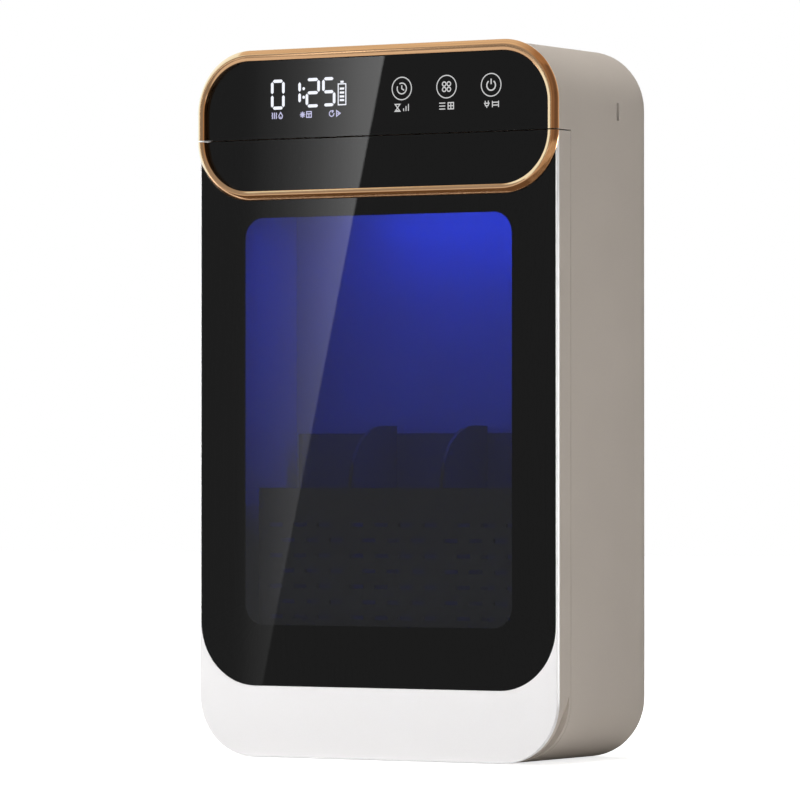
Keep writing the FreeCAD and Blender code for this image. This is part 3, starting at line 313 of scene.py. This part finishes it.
def make_materials():
    coarse = {"grain": 1800.0, "depth": 0.02 * MM}
    return {
        "beige": moulded("beige_shell", BEIGE, 0.5, specular=0.0),
        "white": moulded("white_shell", WHITE, 0.30, grain=3200.0, depth=0.004 * MM, drift=0.01),
        "glass": glass("tinted_glass", (0.177, 0.184, 0.205)),
        "print": print_black("black_print"),
        "rose_gold": polished_metal("rose_gold", (0.76, 0.46, 0.25), 0.13),
        "dark": moulded("dark_plastic", (0.055, 0.055, 0.06), 0.5, **coarse),
        "basket": moulded("basket_plastic", (0.145, 0.145, 0.155), 0.45, **coarse),
        "black": moulded("black_plastic", (0.02, 0.02, 0.02), 0.45, **coarse),
        "liner": moulded("liner_plastic", (0.42, 0.46, 0.62), 0.35),
        "holder": moulded("holder_plastic", (0.75, 0.75, 0.72), 0.35),
        "steel": metal("zinc_steel", (0.62, 0.62, 0.63), 0.32, (1.0, 6.0, 1.0)),
        "magnet": metal("nickel_magnet", (0.70, 0.69, 0.66), 0.18),
        "brass": metal("turned_brass", (0.80, 0.60, 0.30), 0.28, (1.0, 8.0, 1.0)),
        "reflector": metal("rolled_aluminium", (0.86, 0.87, 0.88), 0.15, (8.0, 1.0, 1.0)),
        "fins": metal("heater_fins", (0.66, 0.66, 0.67), 0.40, (6.0, 1.0, 1.0)),
        "rubber": moulded("rubber", (0.03, 0.03, 0.03), 0.75, grain=1500.0, depth=0.03 * MM),
        "lamp": glowing("lit_quartz", (0.12, 0.20, 1.0), 5.0, (0.6, 0.65, 0.9)),
        "cell": moulded("cell_sleeve", (0.03, 0.14, 0.26), 0.30, grain=900.0),
        "board": circuit_board("solder_mask"),
        "digit": glowing("display_light", (0.90, 0.92, 1.0), 1.05),
        "mode": glowing("mode_light", (0.56, 0.55, 0.80), 1.0),
        "mark": glowing("key_print", (0.80, 0.80, 0.80), 0.75),
    }


NODE_MATERIALS = {
    "beige": ("casing", "back_cover", "door_frame"),
    "white": ("face_plate",),
    "glass": ("front_glass", "display_glass"),
    "print": ("front_mask", "display_mask"),
    "rose_gold": ("trim_ring_lower", "trim_ring_upper"),
    "dark": ("door_inner_cover", "drip_tray", "air_grille"),
    "basket": ("cutlery_basket", "left_divider", "right_divider"),
    "black": ("fan_frame", "fan_rotor", "battery_cradle", "display_module", "head_chassis"),
    "liner": ("chamber_bezel", "chamber_liner"),
    "holder": ("lamp_holder_left", "lamp_holder_right"),
    "steel": ("hinge_pin_lower", "hinge_pin_upper", "door_cover_screws", "liner_screws",
              "board_screws", "back_cover_screws", "touch_springs", "charging_socket"),
    "magnet": ("door_magnets", "case_magnets"),
    "brass": ("wall_inserts",),
    "reflector": ("lamp_reflector",),
    "fins": ("ptc_heater",),
    "rubber": ("basket_feet", "door_gasket", "rubber_feet"),
    "lamp": ("uv_lamp",),
    "cell": ("battery_cells",),
    "board": ("main_board", "display_board", "charging_board"),
}


def dress_nodes(materials):
    for key, nodes in NODE_MATERIALS.items():
        for node in nodes:
            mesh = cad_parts[node].data
            mesh.materials.clear()
            mesh.materials.append(materials[key])
    undressed = set(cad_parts) - {node for nodes in NODE_MATERIALS.values() for node in nodes}
    if undressed:
        raise ValueError("these nodes have no material: %s" % sorted(undressed))


# ---------------------------------------------------------------- ring around the head

RING_ROUND = 30.0 * MM
RING_WIDTH = 4.9 * MM
RING_HOLE_DROP = 0.4 * MM
RING_STEPS = 40
SHARP_ANGLE = math.radians(35)
# Height over the plate across the ring, in millimetres: from the inner edge, then from the outer.
RING_LIP = [(0.0, 0.0), (0.0, 2.0), (0.1, 2.24), (0.45, 2.46), (0.95, 2.7), (1.4, 2.88),
            (1.8, 2.98)]
RING_SLOPE = [(2.75, 3.0), (2.5, 2.93), (2.2, 2.74), (1.5, 2.12), (0.8, 1.42), (0.3, 0.9),
              (0.08, 0.62), (0.0, 0.4), (0.0, 0.0)]
# Length across the ring's section, for its UV.
RING_GIRTH = 8 * MM


def ring_stations(edge, seam, upward):
    """Pairs of points on the ring's hole and outer edge, from the left seam round to the right."""
    side = ring_high.x
    middle = edge + RING_ROUND * (1 if upward else -1)
    inner_round = RING_ROUND - RING_WIDTH
    pairs = [(Vector((-side + RING_WIDTH, seam)), Vector((-side, seam)))]
    for sign, start in ((-1, 180), (1, 270 if upward else 90)):
        for step in range(RING_STEPS + 1):
            sweep = 90.0 * step / RING_STEPS * (1 if upward else -1)
            angle = math.radians(start + sweep)
            way = Vector((math.cos(angle), math.sin(angle)))
            centre = Vector((sign * (side - RING_ROUND), middle))
            hole = centre - Vector((0, RING_HOLE_DROP)) + way * inner_round
            rim = centre + way * RING_ROUND
            beyond = max(hole.y, rim.y) > seam if upward else min(hole.y, rim.y) < seam
            if not beyond:
                pairs.append((hole, rim))
    pairs.append((Vector((side - RING_WIDTH, seam)), Vector((side, seam))))
    return pairs


def ring_piece(name, pairs):
    mesh = bmesh.new()
    along = mesh.loops.layers.uv.new("UVMap")
    rows, lengths = [], [0.0]
    for index, (hole, rim) in enumerate(pairs):
        outward = (rim - hole).normalized()
        spots = [(hole + outward * u * MM, v) for u, v in RING_LIP]
        spots += [(rim - outward * u * MM, v) for u, v in RING_SLOPE]
        rows.append([mesh.verts.new((spot.x, FRONT - v * MM, spot.y)) for spot, v in spots])
        if index:
            lengths.append(lengths[-1] + (rim - pairs[index - 1][1]).length)
    count = len(rows[0])
    for index in range(len(rows) - 1):
        for step in range(count):
            after = (step + 1) % count
            face = mesh.faces.new((rows[index][step], rows[index][after],
                                   rows[index + 1][after], rows[index + 1][step]))
            places = ((index, step), (index, step + 1), (index + 1, step + 1), (index + 1, step))
            for loop, (station, line) in zip(face.loops, places):
                loop[along].uv = (lengths[station], line / count * RING_GIRTH)
            face.smooth = True
    mesh.faces.new(rows[0])
    mesh.faces.new(rows[-1])
    bmesh.ops.recalc_face_normals(mesh, faces=mesh.faces)
    for edge in mesh.edges:
        edge.smooth = edge.calc_face_angle(0.0) < SHARP_ANGLE
    return finished(name, mesh)


def make_ring(materials):
    lower = ring_piece("ring_lower", ring_stations(ring_low.z, ring_seam_low.z, True))
    upper = ring_piece("ring_upper", ring_stations(ring_high.z, ring_seam_high.z, False))
    for piece, node, body in ((lower, "trim_ring_lower", "door"),
                              (upper, "trim_ring_upper", "cabinet")):
        piece.data.materials.append(materials["rose_gold"])
        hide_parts(node)
        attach(piece, body)


# ---------------------------------------------------------------- marks on the glass

MARK_RISE = 0.02 * MM


def ribbon(points, width, closed=False):
    """Corner pairs of a flat line of that width through the points, with mitred corners."""
    count = len(points)
    pairs = []
    for index, point in enumerate(points):
        before = points[index - 1] if closed or index > 0 else None
        after = points[(index + 1) % count] if closed or index < count - 1 else None
        ways = []
        if before is not None:
            ways.append((point - before).normalized())
        if after is not None:
            ways.append((after - point).normalized())
        normals = [Vector((-way.y, way.x)) for way in ways]
        mitre = sum(normals, Vector((0, 0))).normalized()
        reach = width / 2 / max(0.4, mitre.dot(normals[0]))
        pairs.append((point + mitre * reach, point - mitre * reach))
    return pairs


def flat_mesh(name, faces):
    """A thin printed mesh on the head's glass from outlines given as (x, z) in millimetres."""
    mesh = bmesh.new()
    for outline in faces:
        corners = [mesh.verts.new((x * MM, GLASS_FRONT - MARK_RISE, z * MM)) for x, z in outline]
        mesh.faces.new(corners)
    bmesh.ops.recalc_face_normals(mesh, faces=mesh.faces)
    for face in mesh.faces:
        if face.normal.y > 0:
            face.normal_flip()
    return finished(name, mesh)


def line_faces(points, width, closed=False):
    pairs = ribbon([Vector(point) for point in points], width, closed)
    last = len(pairs) if closed else len(pairs) - 1
    faces = []
    for index in range(last):
        first, second = pairs[index], pairs[(index + 1) % len(pairs)]
        faces.append([first[0], first[1], second[1], second[0]])
    return faces


def arc_points(centre, radius, start=0.0, end=360.0, steps=40):
    closed = abs(end - start) >= 360
    count = steps if closed else steps + 1
    angles = [math.radians(start + (end - start) * index / steps) for index in range(count)]
    return [(centre[0] + radius * math.cos(a), centre[1] + radius * math.sin(a)) for a in angles]


def ring_faces(centre, radius, width, start=0.0, end=360.0):
    closed = abs(end - start) >= 360
    return line_faces(arc_points(centre, radius, start, end), width, closed)


SEGMENTS = {
    "0": "abcdef", "1": "bc", "2": "abged", "5": "afgcd",
}


def digit_faces(digit, left, right, low, high, stroke=1.5, gap=0.3):
    """Seven-segment digit: each segment is a bar with pointed ends."""
    middle = (low + high) / 2
    inset = stroke / 2
    x0, x1 = left + inset, right - inset
    rows = {"a": high - inset, "g": middle, "d": low + inset}
    faces = []
    for name in SEGMENTS[digit]:
        if name in rows:
            z = rows[name]
            a, b = x0 + gap, x1 - gap
            faces.append([(a, z), (a + inset, z + inset), (b - inset, z + inset), (b, z),
                          (b - inset, z - inset), (a + inset, z - inset)])
            continue
        x = x0 if name in "ef" else x1
        if name in "bf":
            a, b = middle + gap, high - inset - gap
        else:
            a, b = low + inset + gap, middle - gap
        faces.append([(x, a), (x + inset, a + inset), (x + inset, b - inset), (x, b),
                      (x - inset, b - inset), (x - inset, a + inset)])
    return faces


def box_face(left, right, low, high):
    return [(left, low), (right, low), (right, high), (left, high)]


# Small generic signs as strokes on a square from -1 to 1, in place of the photo's lettering.
SIGNS = {
    "heat": [[(x, -1), (x + 0.25, -0.5), (x, 0), (x + 0.25, 0.5), (x, 1)]
             for x in (-0.85, -0.1, 0.65)],
    "drop": [[(0, 1), (0.7, -0.1), (0.5, -0.8), (0, -1), (-0.5, -0.8), (-0.7, -0.1), (0, 1)],
             [(-0.2, -0.5), (0.2, -0.5)]],
    "rays": [[(-1, 0), (1, 0)], [(0, -1), (0, 1)], [(-0.7, -0.7), (0.7, 0.7)],
             [(-0.7, 0.7), (0.7, -0.7)]],
    "case": [[(-0.9, -0.9), (0.9, -0.9), (0.9, 0.9), (-0.9, 0.9), (-0.9, -0.9)],
             [(-0.9, 0.2), (0.9, 0.2)], [(0, 0.2), (0, -0.9)]],
    "turn": [[(0.9, 0.1), (0.6, -0.7), (-0.2, -0.95), (-0.85, -0.4), (-0.85, 0.4), (-0.3, 0.9),
              (0.5, 0.75)], [(0.1, 0.25), (0.6, 0.75), (0.3, 1.1)]],
    "play": [[(-0.6, -0.9), (0.8, 0), (-0.6, 0.9), (-0.6, -0.9)], [(-0.3, 0), (0.3, 0)]],
    "sand": [[(-0.8, 1), (0.8, 1), (-0.8, -1), (0.8, -1), (-0.8, 1)], [(-0.3, -0.8), (0.3, -0.8)]],
    "bars": [[(-0.8, -1), (-0.8, -0.2)], [(0, -1), (0, 0.4)], [(0.8, -1), (0.8, 1)]],
    "list": [[(-1, z), (1, z)] for z in (-0.85, 0, 0.85)],
    "grid": [[(-0.9, -0.9), (0.9, -0.9), (0.9, 0.9), (-0.9, 0.9), (-0.9, -0.9)],
             [(0, -0.9), (0, 0.9)], [(-0.9, 0), (0.9, 0)]],
    "plug": [[(-0.5, 1), (-0.5, 0.3)], [(0.5, 1), (0.5, 0.3)], [(-0.9, 0.3), (0.9, 0.3)],
             [(-0.7, 0.3), (-0.4, -0.4), (0.4, -0.4), (0.7, 0.3)], [(0, -0.4), (0, -1)]],
    "gate": [[(-1, -0.9), (-1, 0.9)], [(1, -0.9), (1, 0.9)], [(-1, 0.5), (1, 0.5)],
             [(-1, -0.3), (1, -0.3)]],
}


SIGN_WIDTH = 0.5


def sign_faces(name, x, z, reach):
    faces = []
    for stroke in SIGNS[name]:
        closed = stroke[0] == stroke[-1]
        points = [(x + a * reach, z + b * reach) for a, b in (stroke[:-1] if closed else stroke)]
        faces += line_faces(points, SIGN_WIDTH, closed)
    return faces


def sign_row(name, middles, pairs, z, apart, reach):
    """Two signs side by side round each middle."""
    faces = []
    for x, pair in zip(middles, pairs):
        for side, sign in zip((-apart, apart), pair):
            faces += sign_faces(sign, x + side, z, reach)
    return flat_mesh(name, faces)


# The display, in the front plane's millimetres: a digit's left, right, low and high, and so on.
DIGITS = (("0", -58.7, -50.9, 311.3, 325.7), ("1", -49.5, -41.7, 313.2, 325.1),
          ("2", -39.1, -31.0, 311.7, 325.8), ("5", -29.8, -22.3, 311.9, 325.9))
COLON_X, COLON_Z, COLON_RADIUS = -40.15, (316.75, 320.85), 0.75
BATTERY_CASE = [(-20.75, 312.45), (-16.5, 312.45), (-16.5, 322.4), (-20.75, 322.4)]
BATTERY_LINE = 0.55
BATTERY_CAP = (-19.5, -17.7, 322.9, 323.9)
BATTERY_BARS = (314.65, 316.4, 318.25, 320.15)
BAR_LEFT, BAR_RIGHT, BAR_HALF = -19.9, -17.4, 0.5
MODE_X, MODE_Z, MODE_APART, MODE_REACH = (-55.0, -39.0, -22.6), 308.4, 1.8, 1.5
MODE_PAIRS = (("heat", "drop"), ("rays", "case"), ("turn", "play"))

# The touch keys: ring, symbol and two signs each.
KEY_X = (14.6, 39.2, 63.5)
KEY_Z = 319.0
KEY_RADIUS, KEY_LINE = 5.34, 0.5
CLOCK_RADIUS, CLOCK_LINE = 2.55, 0.55
LOOP_RADIUS, LOOP_SIDE = 0.98, 1.28
POWER_RADIUS, POWER_LINE = 2.35, 0.65
LABEL_Z, LABEL_APART, LABEL_REACH = 309.9, 2.35, 1.65
LABEL_PAIRS = (("sand", "bars"), ("list", "grid"), ("plug", "gate"))


def display_marks():
    faces = []
    for digit in DIGITS:
        faces += digit_faces(*digit)
    for z in COLON_Z:
        faces.append(arc_points((COLON_X, z), COLON_RADIUS, steps=16))
    faces += line_faces(BATTERY_CASE, BATTERY_LINE, True)
    faces.append(box_face(*BATTERY_CAP))
    for z in BATTERY_BARS:
        faces.append(box_face(BAR_LEFT, BAR_RIGHT, z - BAR_HALF, z + BAR_HALF))
    return flat_mesh("display_digits", faces)


def key_marks():
    faces = []
    for x in KEY_X:
        faces += ring_faces((x, KEY_Z), KEY_RADIUS, KEY_LINE)
    clock, loops, power = KEY_X
    faces += ring_faces((clock, KEY_Z), CLOCK_RADIUS, CLOCK_LINE, -205, 120)
    faces += line_faces([(clock, KEY_Z + 1.5), (clock, KEY_Z - 0.1), (clock + 1.3, KEY_Z - 0.9)],
                        CLOCK_LINE)
    for sx in (-1, 1):
        for sz in (-1, 1):
            middle = (loops + sx * LOOP_SIDE, KEY_Z + sz * LOOP_SIDE)
            faces += ring_faces(middle, LOOP_RADIUS, CLOCK_LINE)
    faces += ring_faces((power, KEY_Z - 0.2), POWER_RADIUS, POWER_LINE, 125, 415)
    faces += line_faces([(power, KEY_Z + 2.9), (power, KEY_Z + 0.3)], POWER_LINE)
    return flat_mesh("key_symbols", faces)


def make_marks(materials):
    digits = display_marks()
    modes = sign_row("display_modes", MODE_X, MODE_PAIRS, MODE_Z, MODE_APART, MODE_REACH)
    symbols = key_marks()
    labels = sign_row("key_labels", KEY_X, LABEL_PAIRS, LABEL_Z, LABEL_APART, LABEL_REACH)
    for piece, key in ((digits, "digit"), (modes, "mode"), (symbols, "mark"), (labels, "mark")):
        piece.data.materials.append(materials[key])
        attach(piece, "cabinet")


# ---------------------------------------------------------------- stage

def add_area(name, place, aim, size, power, colour=(1, 1, 1)):
    data = bpy.data.lights.new(name, "AREA")
    data.shape = "RECTANGLE"
    data.size, data.size_y = size
    data.energy = power
    data.color = colour
    lamp = placed(name, data)
    lamp.location = place
    lamp.rotation_euler = (Vector(aim) - Vector(place)).to_track_quat("-Z", "Y").to_euler()
    return lamp


def seen_directly(tree):
    """1 for rays that should see the white background: camera, glossy and transmission rays."""
    path = tree.nodes.new("ShaderNodeLightPath")
    total = path.outputs["Is Camera Ray"]
    for name in ("Is Glossy Ray", "Is Transmission Ray"):
        biggest = tree.nodes.new("ShaderNodeMath")
        biggest.operation = "MAXIMUM"
        tree.links.new(total, biggest.inputs[0])
        tree.links.new(path.outputs[name], biggest.inputs[1])
        total = biggest.outputs[0]
    return total


WORLD_LIGHT = 0.07


def make_world():
    world = bpy.data.worlds.new("studio")
    world.use_nodes = True
    tree = world.node_tree
    background = tree.nodes["Background"]
    background.inputs["Color"].default_value = (1, 1, 1, 1)
    mix = tree.nodes.new("ShaderNodeMapRange")
    mix.inputs["To Min"].default_value = WORLD_LIGHT
    mix.inputs["To Max"].default_value = 1.0
    tree.links.new(seen_directly(tree), mix.inputs["Value"])
    tree.links.new(mix.outputs["Result"], background.inputs["Strength"])
    bpy.context.scene.world = world


def stage_plane(name, corners, faces=((0, 1, 2, 3),)):
    data = bpy.data.meshes.new(name)
    data.from_pydata(corners, [], faces)
    piece = placed(name, data)
    return piece


FLOOR_REACH = 6.0
# Seen directly, the floor gets lighter over this distance, so that its far edge isn't grey.
FLOOR_FADE = (1.2, 3.6)
FLOOR_GLOW = (0.76, 0.98)


def make_floor():
    reach = FLOOR_REACH
    floor = stage_plane("floor", [(-reach, -reach, 0), (reach, -reach, 0),
                                  (reach, reach, 0), (-reach, reach, 0)])
    s = Shader("floor_paper")
    distance = s.add("ShaderNodeVectorMath", operation="LENGTH")
    s.link(s.place, distance.inputs[0])
    level = s.vary(s.between(distance.outputs["Value"], *FLOOR_FADE), *FLOOR_GLOW)
    s.feed(Base_Color=s.ramp(s.noise(3.0), [(0.3, grey(0.88)), (0.7, grey(0.92))]),
           Emission_Strength=s.maths("MULTIPLY", level, seen_directly(s.tree)))
    s.set(Roughness=0.9, Specular_IOR_Level=0.0, Emission_Color=(1, 1, 1, 1))
    floor.data.materials.append(s.material)


# The card stands in front of the box on the left, where the front glass reflects it to the camera.
# Only reflections see it. Its light grows towards the right up to a slanted edge. To the right of
# that edge it is dark, and above CARD_CAP_RISE it is level.
CARD_FRONT = 600.0
CARD_SIDES = (-0.72, 0.15)
CARD_HEIGHT = 1.6
CARD_EDGE_TOP = (-356.4, 386.9)
CARD_EDGE_LOW = (-443.0, 8.4)
CARD_EDGE_SOFT = 0.8 * MM
CARD_DARK = 0.325
CARD_LEAN = 0.027
CARD_SPAN = (-0.4625, -0.3525)
CARD_LEVELS = [
    (0.0, 0.35), (0.065, 0.36), (0.127, 0.405), (0.19, 0.52), (0.315, 0.73), (0.44, 1.05),
    (0.565, 1.55), (0.69, 2.20), (0.815, 3.0), (0.94, 3.5), (1.0, 3.55),
]
CARD_CAP_RISE = (0.42, 0.50)
CARD_CAP = 0.42


def reflection_card(name, corners, faces=((0, 1, 2, 3),)):
    """A surface that only reflections see."""
    card = stage_plane(name, corners, faces)
    for ray in ("camera", "diffuse", "transmission", "volume_scatter", "shadow"):
        setattr(card, "visible_" + ray, False)
    s = Shader(name)
    s.set(Base_Color=(0, 0, 0, 1), Specular_IOR_Level=0.0)
    card.data.materials.append(s.material)
    return s


def make_glass_card():
    y = FRONT - CARD_FRONT * MM
    left, right = CARD_SIDES
    s = reflection_card("glass_card", [(left, y, 0.0), (right, y, 0.0), (right, y, CARD_HEIGHT),
                                       (left, y, CARD_HEIGHT)])
    axes = s.axes()

    def leaning(slope, start):
        """Distance to the right of a line that leans by that slope, from start at the floor."""
        return s.maths("ADD", axes["X"], s.maths("MULTIPLY_ADD", axes["Z"], -slope, -start))

    top_x, top_z = (value * MM for value in CARD_EDGE_TOP)
    low_x, low_z = (value * MM for value in CARD_EDGE_LOW)
    slope = (top_x - low_x) / (top_z - low_z)
    strip = s.ramp(s.between(leaning(CARD_LEAN, -CARD_LEAN * top_z), *CARD_SPAN),
                   [(place, grey(level)) for place, level in CARD_LEVELS])
    past_edge = s.between(leaning(slope, low_x - slope * low_z), -CARD_EDGE_SOFT, CARD_EDGE_SOFT)
    strip = s.mixed(strip, (*grey(CARD_DARK), 1.0), past_edge)
    strip = s.mixed(strip, (*grey(CARD_CAP), 1.0), s.between(axes["Z"], *CARD_CAP_RISE))
    s.feed(Emission_Color=strip)
    s.set(Emission_Strength=1.0)


def curved_card(name, first, last, distance, high, steps=10):
    """An upright card round the box from one yaw to another, in degrees from the front."""
    corners = []
    for step in range(steps + 1):
        yaw = math.radians(first + (last - first) * step / steps)
        corners += [Vector((math.sin(yaw), -math.cos(yaw), height / distance)) * distance
                    for height in (0.0, high)]
    faces = [(i, i + 2, i + 3, i + 1) for i in range(0, 2 * steps, 2)]
    return reflection_card(name, corners, faces)


def flat_card(name, across, deep, height=2 * MM, stretch=None, stops=None):
    """A level card over that width and depth, just over the floor unless a height is given."""
    corners = [(across[0], deep[0], height), (across[1], deep[0], height),
               (across[1], deep[1], height), (across[0], deep[1], height)]
    s = reflection_card(name, corners)
    if stops:
        s.feed(Emission_Color=s.ramp(s.noise(1.0, 3.0, 0.5, stretch), stops))
    s.set(Emission_Strength=1.0)
    return s


# Angles from +X to the right card's front and back ends, and its colours from one to the other.
RIGHT_YAWS = (math.radians(-82), math.radians(62))
RIGHT_COLOURS = [(0.0, (0.50, 0.38, 0.25)), (0.2, (0.38, 0.27, 0.18)), (0.38, (0.22, 0.15, 0.11)),
                 (0.55, (0.42, 0.32, 0.23)), (0.75, (0.75, 0.68, 0.60)), (1.0, (0.95, 0.90, 0.85))]
CEILING = 2.0
EDGE_X, EDGE_DEPTH, EDGE_HEIGHT = 0.25, (0.08, 0.30), 0.268


def make_metal_cards():
    """Surroundings for the polished metal and the plate's edge: dim and warm at the right, bright
    and cool at the left."""
    s = curved_card("right_card", 8, 152, 1.3, 1.9)
    axes = s.axes()
    yaw = s.maths("ARCTAN2", axes["Y"], axes["X"])
    streaks = s.ramp(s.noise(1.0, 3.0, 0.6, (11.0, 11.0, 0.7)),
                     [(0.35, grey(0.62)), (0.5, grey(1.0)), (0.65, grey(1.3))])
    s.feed(Emission_Color=s.ramp(s.between(yaw, *RIGHT_YAWS), RIGHT_COLOURS),
           Emission_Strength=streaks)

    s = curved_card("left_card", -142, -44, 1.2, 1.6)
    s.feed(Emission_Color=s.ramp(s.noise(4.0), [(0.3, (1.15, 1.5, 1.7)), (0.7, (1.25, 1.65, 1.9))]))
    s.set(Emission_Strength=1.0)

    flat_card("floor_card", (-0.7, 0.5), (FRONT - 0.19, FRONT - 0.004), stretch=(4.0, 4.0, 4.0),
              stops=[(0.3, (0.11, 0.075, 0.05)), (0.7, (0.19, 0.13, 0.09))])
    flat_card("front_card", (-1.6, 0.12), (FRONT - 1.6, FRONT - 0.19), stretch=(4.0, 4.0, 4.0),
              stops=[(0.3, (0.84, 0.83, 0.82)), (0.7, (0.92, 0.90, 0.88))])
    flat_card("corner_card", (0.12, 1.25), (FRONT - 0.9, 0.4), stretch=(14.0, 14.0, 1.0),
              stops=[(0.4, (0.36, 0.28, 0.20)), (0.5, (0.85, 0.74, 0.62)),
                     (0.6, (0.48, 0.38, 0.28))])

    s = flat_card("ceiling_card", (-CEILING, CEILING), (-CEILING, CEILING), CEILING)
    s.feed(Emission_Color=s.ramp(s.between(s.axes()["X"], -0.4, 0.5),
                                 [(0.0, (0.88, 0.83, 0.72)), (1.0, (0.44, 0.30, 0.19))]))

    near, far = EDGE_DEPTH
    s = reflection_card("edge_card", [(EDGE_X, near, 0.0), (EDGE_X, far, 0.0),
                                      (EDGE_X, far, EDGE_HEIGHT), (EDGE_X, near, EDGE_HEIGHT)])
    s.feed(Emission_Color=s.ramp(s.noise(4.0), [(0.3, grey(7.6)), (0.7, grey(8.4))]))
    s.set(Emission_Strength=1.0)


BLUE = (0.008, 0.05, 1.0)


def make_lights():
    """Three soft lamps for the outside, and two in the chamber for the blue light on its walls.
    The glass and metal would mirror the outer lamps, so reflections don't see them."""
    key = add_area("key", place=(-0.95, -1.0, 0.55), aim=(-0.02, 0, 0.12), size=(0.8, 0.8),
                   power=16.4)
    side = add_area("side_fill", place=(0.62, -0.42, 0.22), aim=(0.1, 0, 0.17), size=(0.3, 0.6),
                    power=1.3)
    top = add_area("top", place=(0.1, 0.1, 1.7), aim=(0, 0, 0.17), size=(1.2, 1.0), power=18)
    for lamp in (key, side, top):
        lamp.visible_glossy = lamp.visible_transmission = False
    below = Vector((0.02, (lamp_low.y + lamp_high.y) / 2, lamp_low.z - 5 * MM))
    add_area("chamber_glow", place=below, aim=(below.x, below.y + 0.02, 0.0), size=(0.12, 0.02),
             power=0.16, colour=BLUE)
    panel = Vector((0.0, liner_low.y + 6 * MM, 0.175))
    fill = add_area("chamber_fill", place=panel, aim=(panel.x, liner_high.y, panel.z),
                    size=(0.14, 0.24), power=0.10, colour=BLUE)
    for ray in ("camera", "transmission", "glossy"):
        setattr(fill, "visible_" + ray, False)


make_camera()
materials = make_materials()
dress_nodes(materials)
make_ring(materials)
make_marks(materials)
make_world()
make_floor()
make_glass_card()
make_metal_cards()
make_lights()
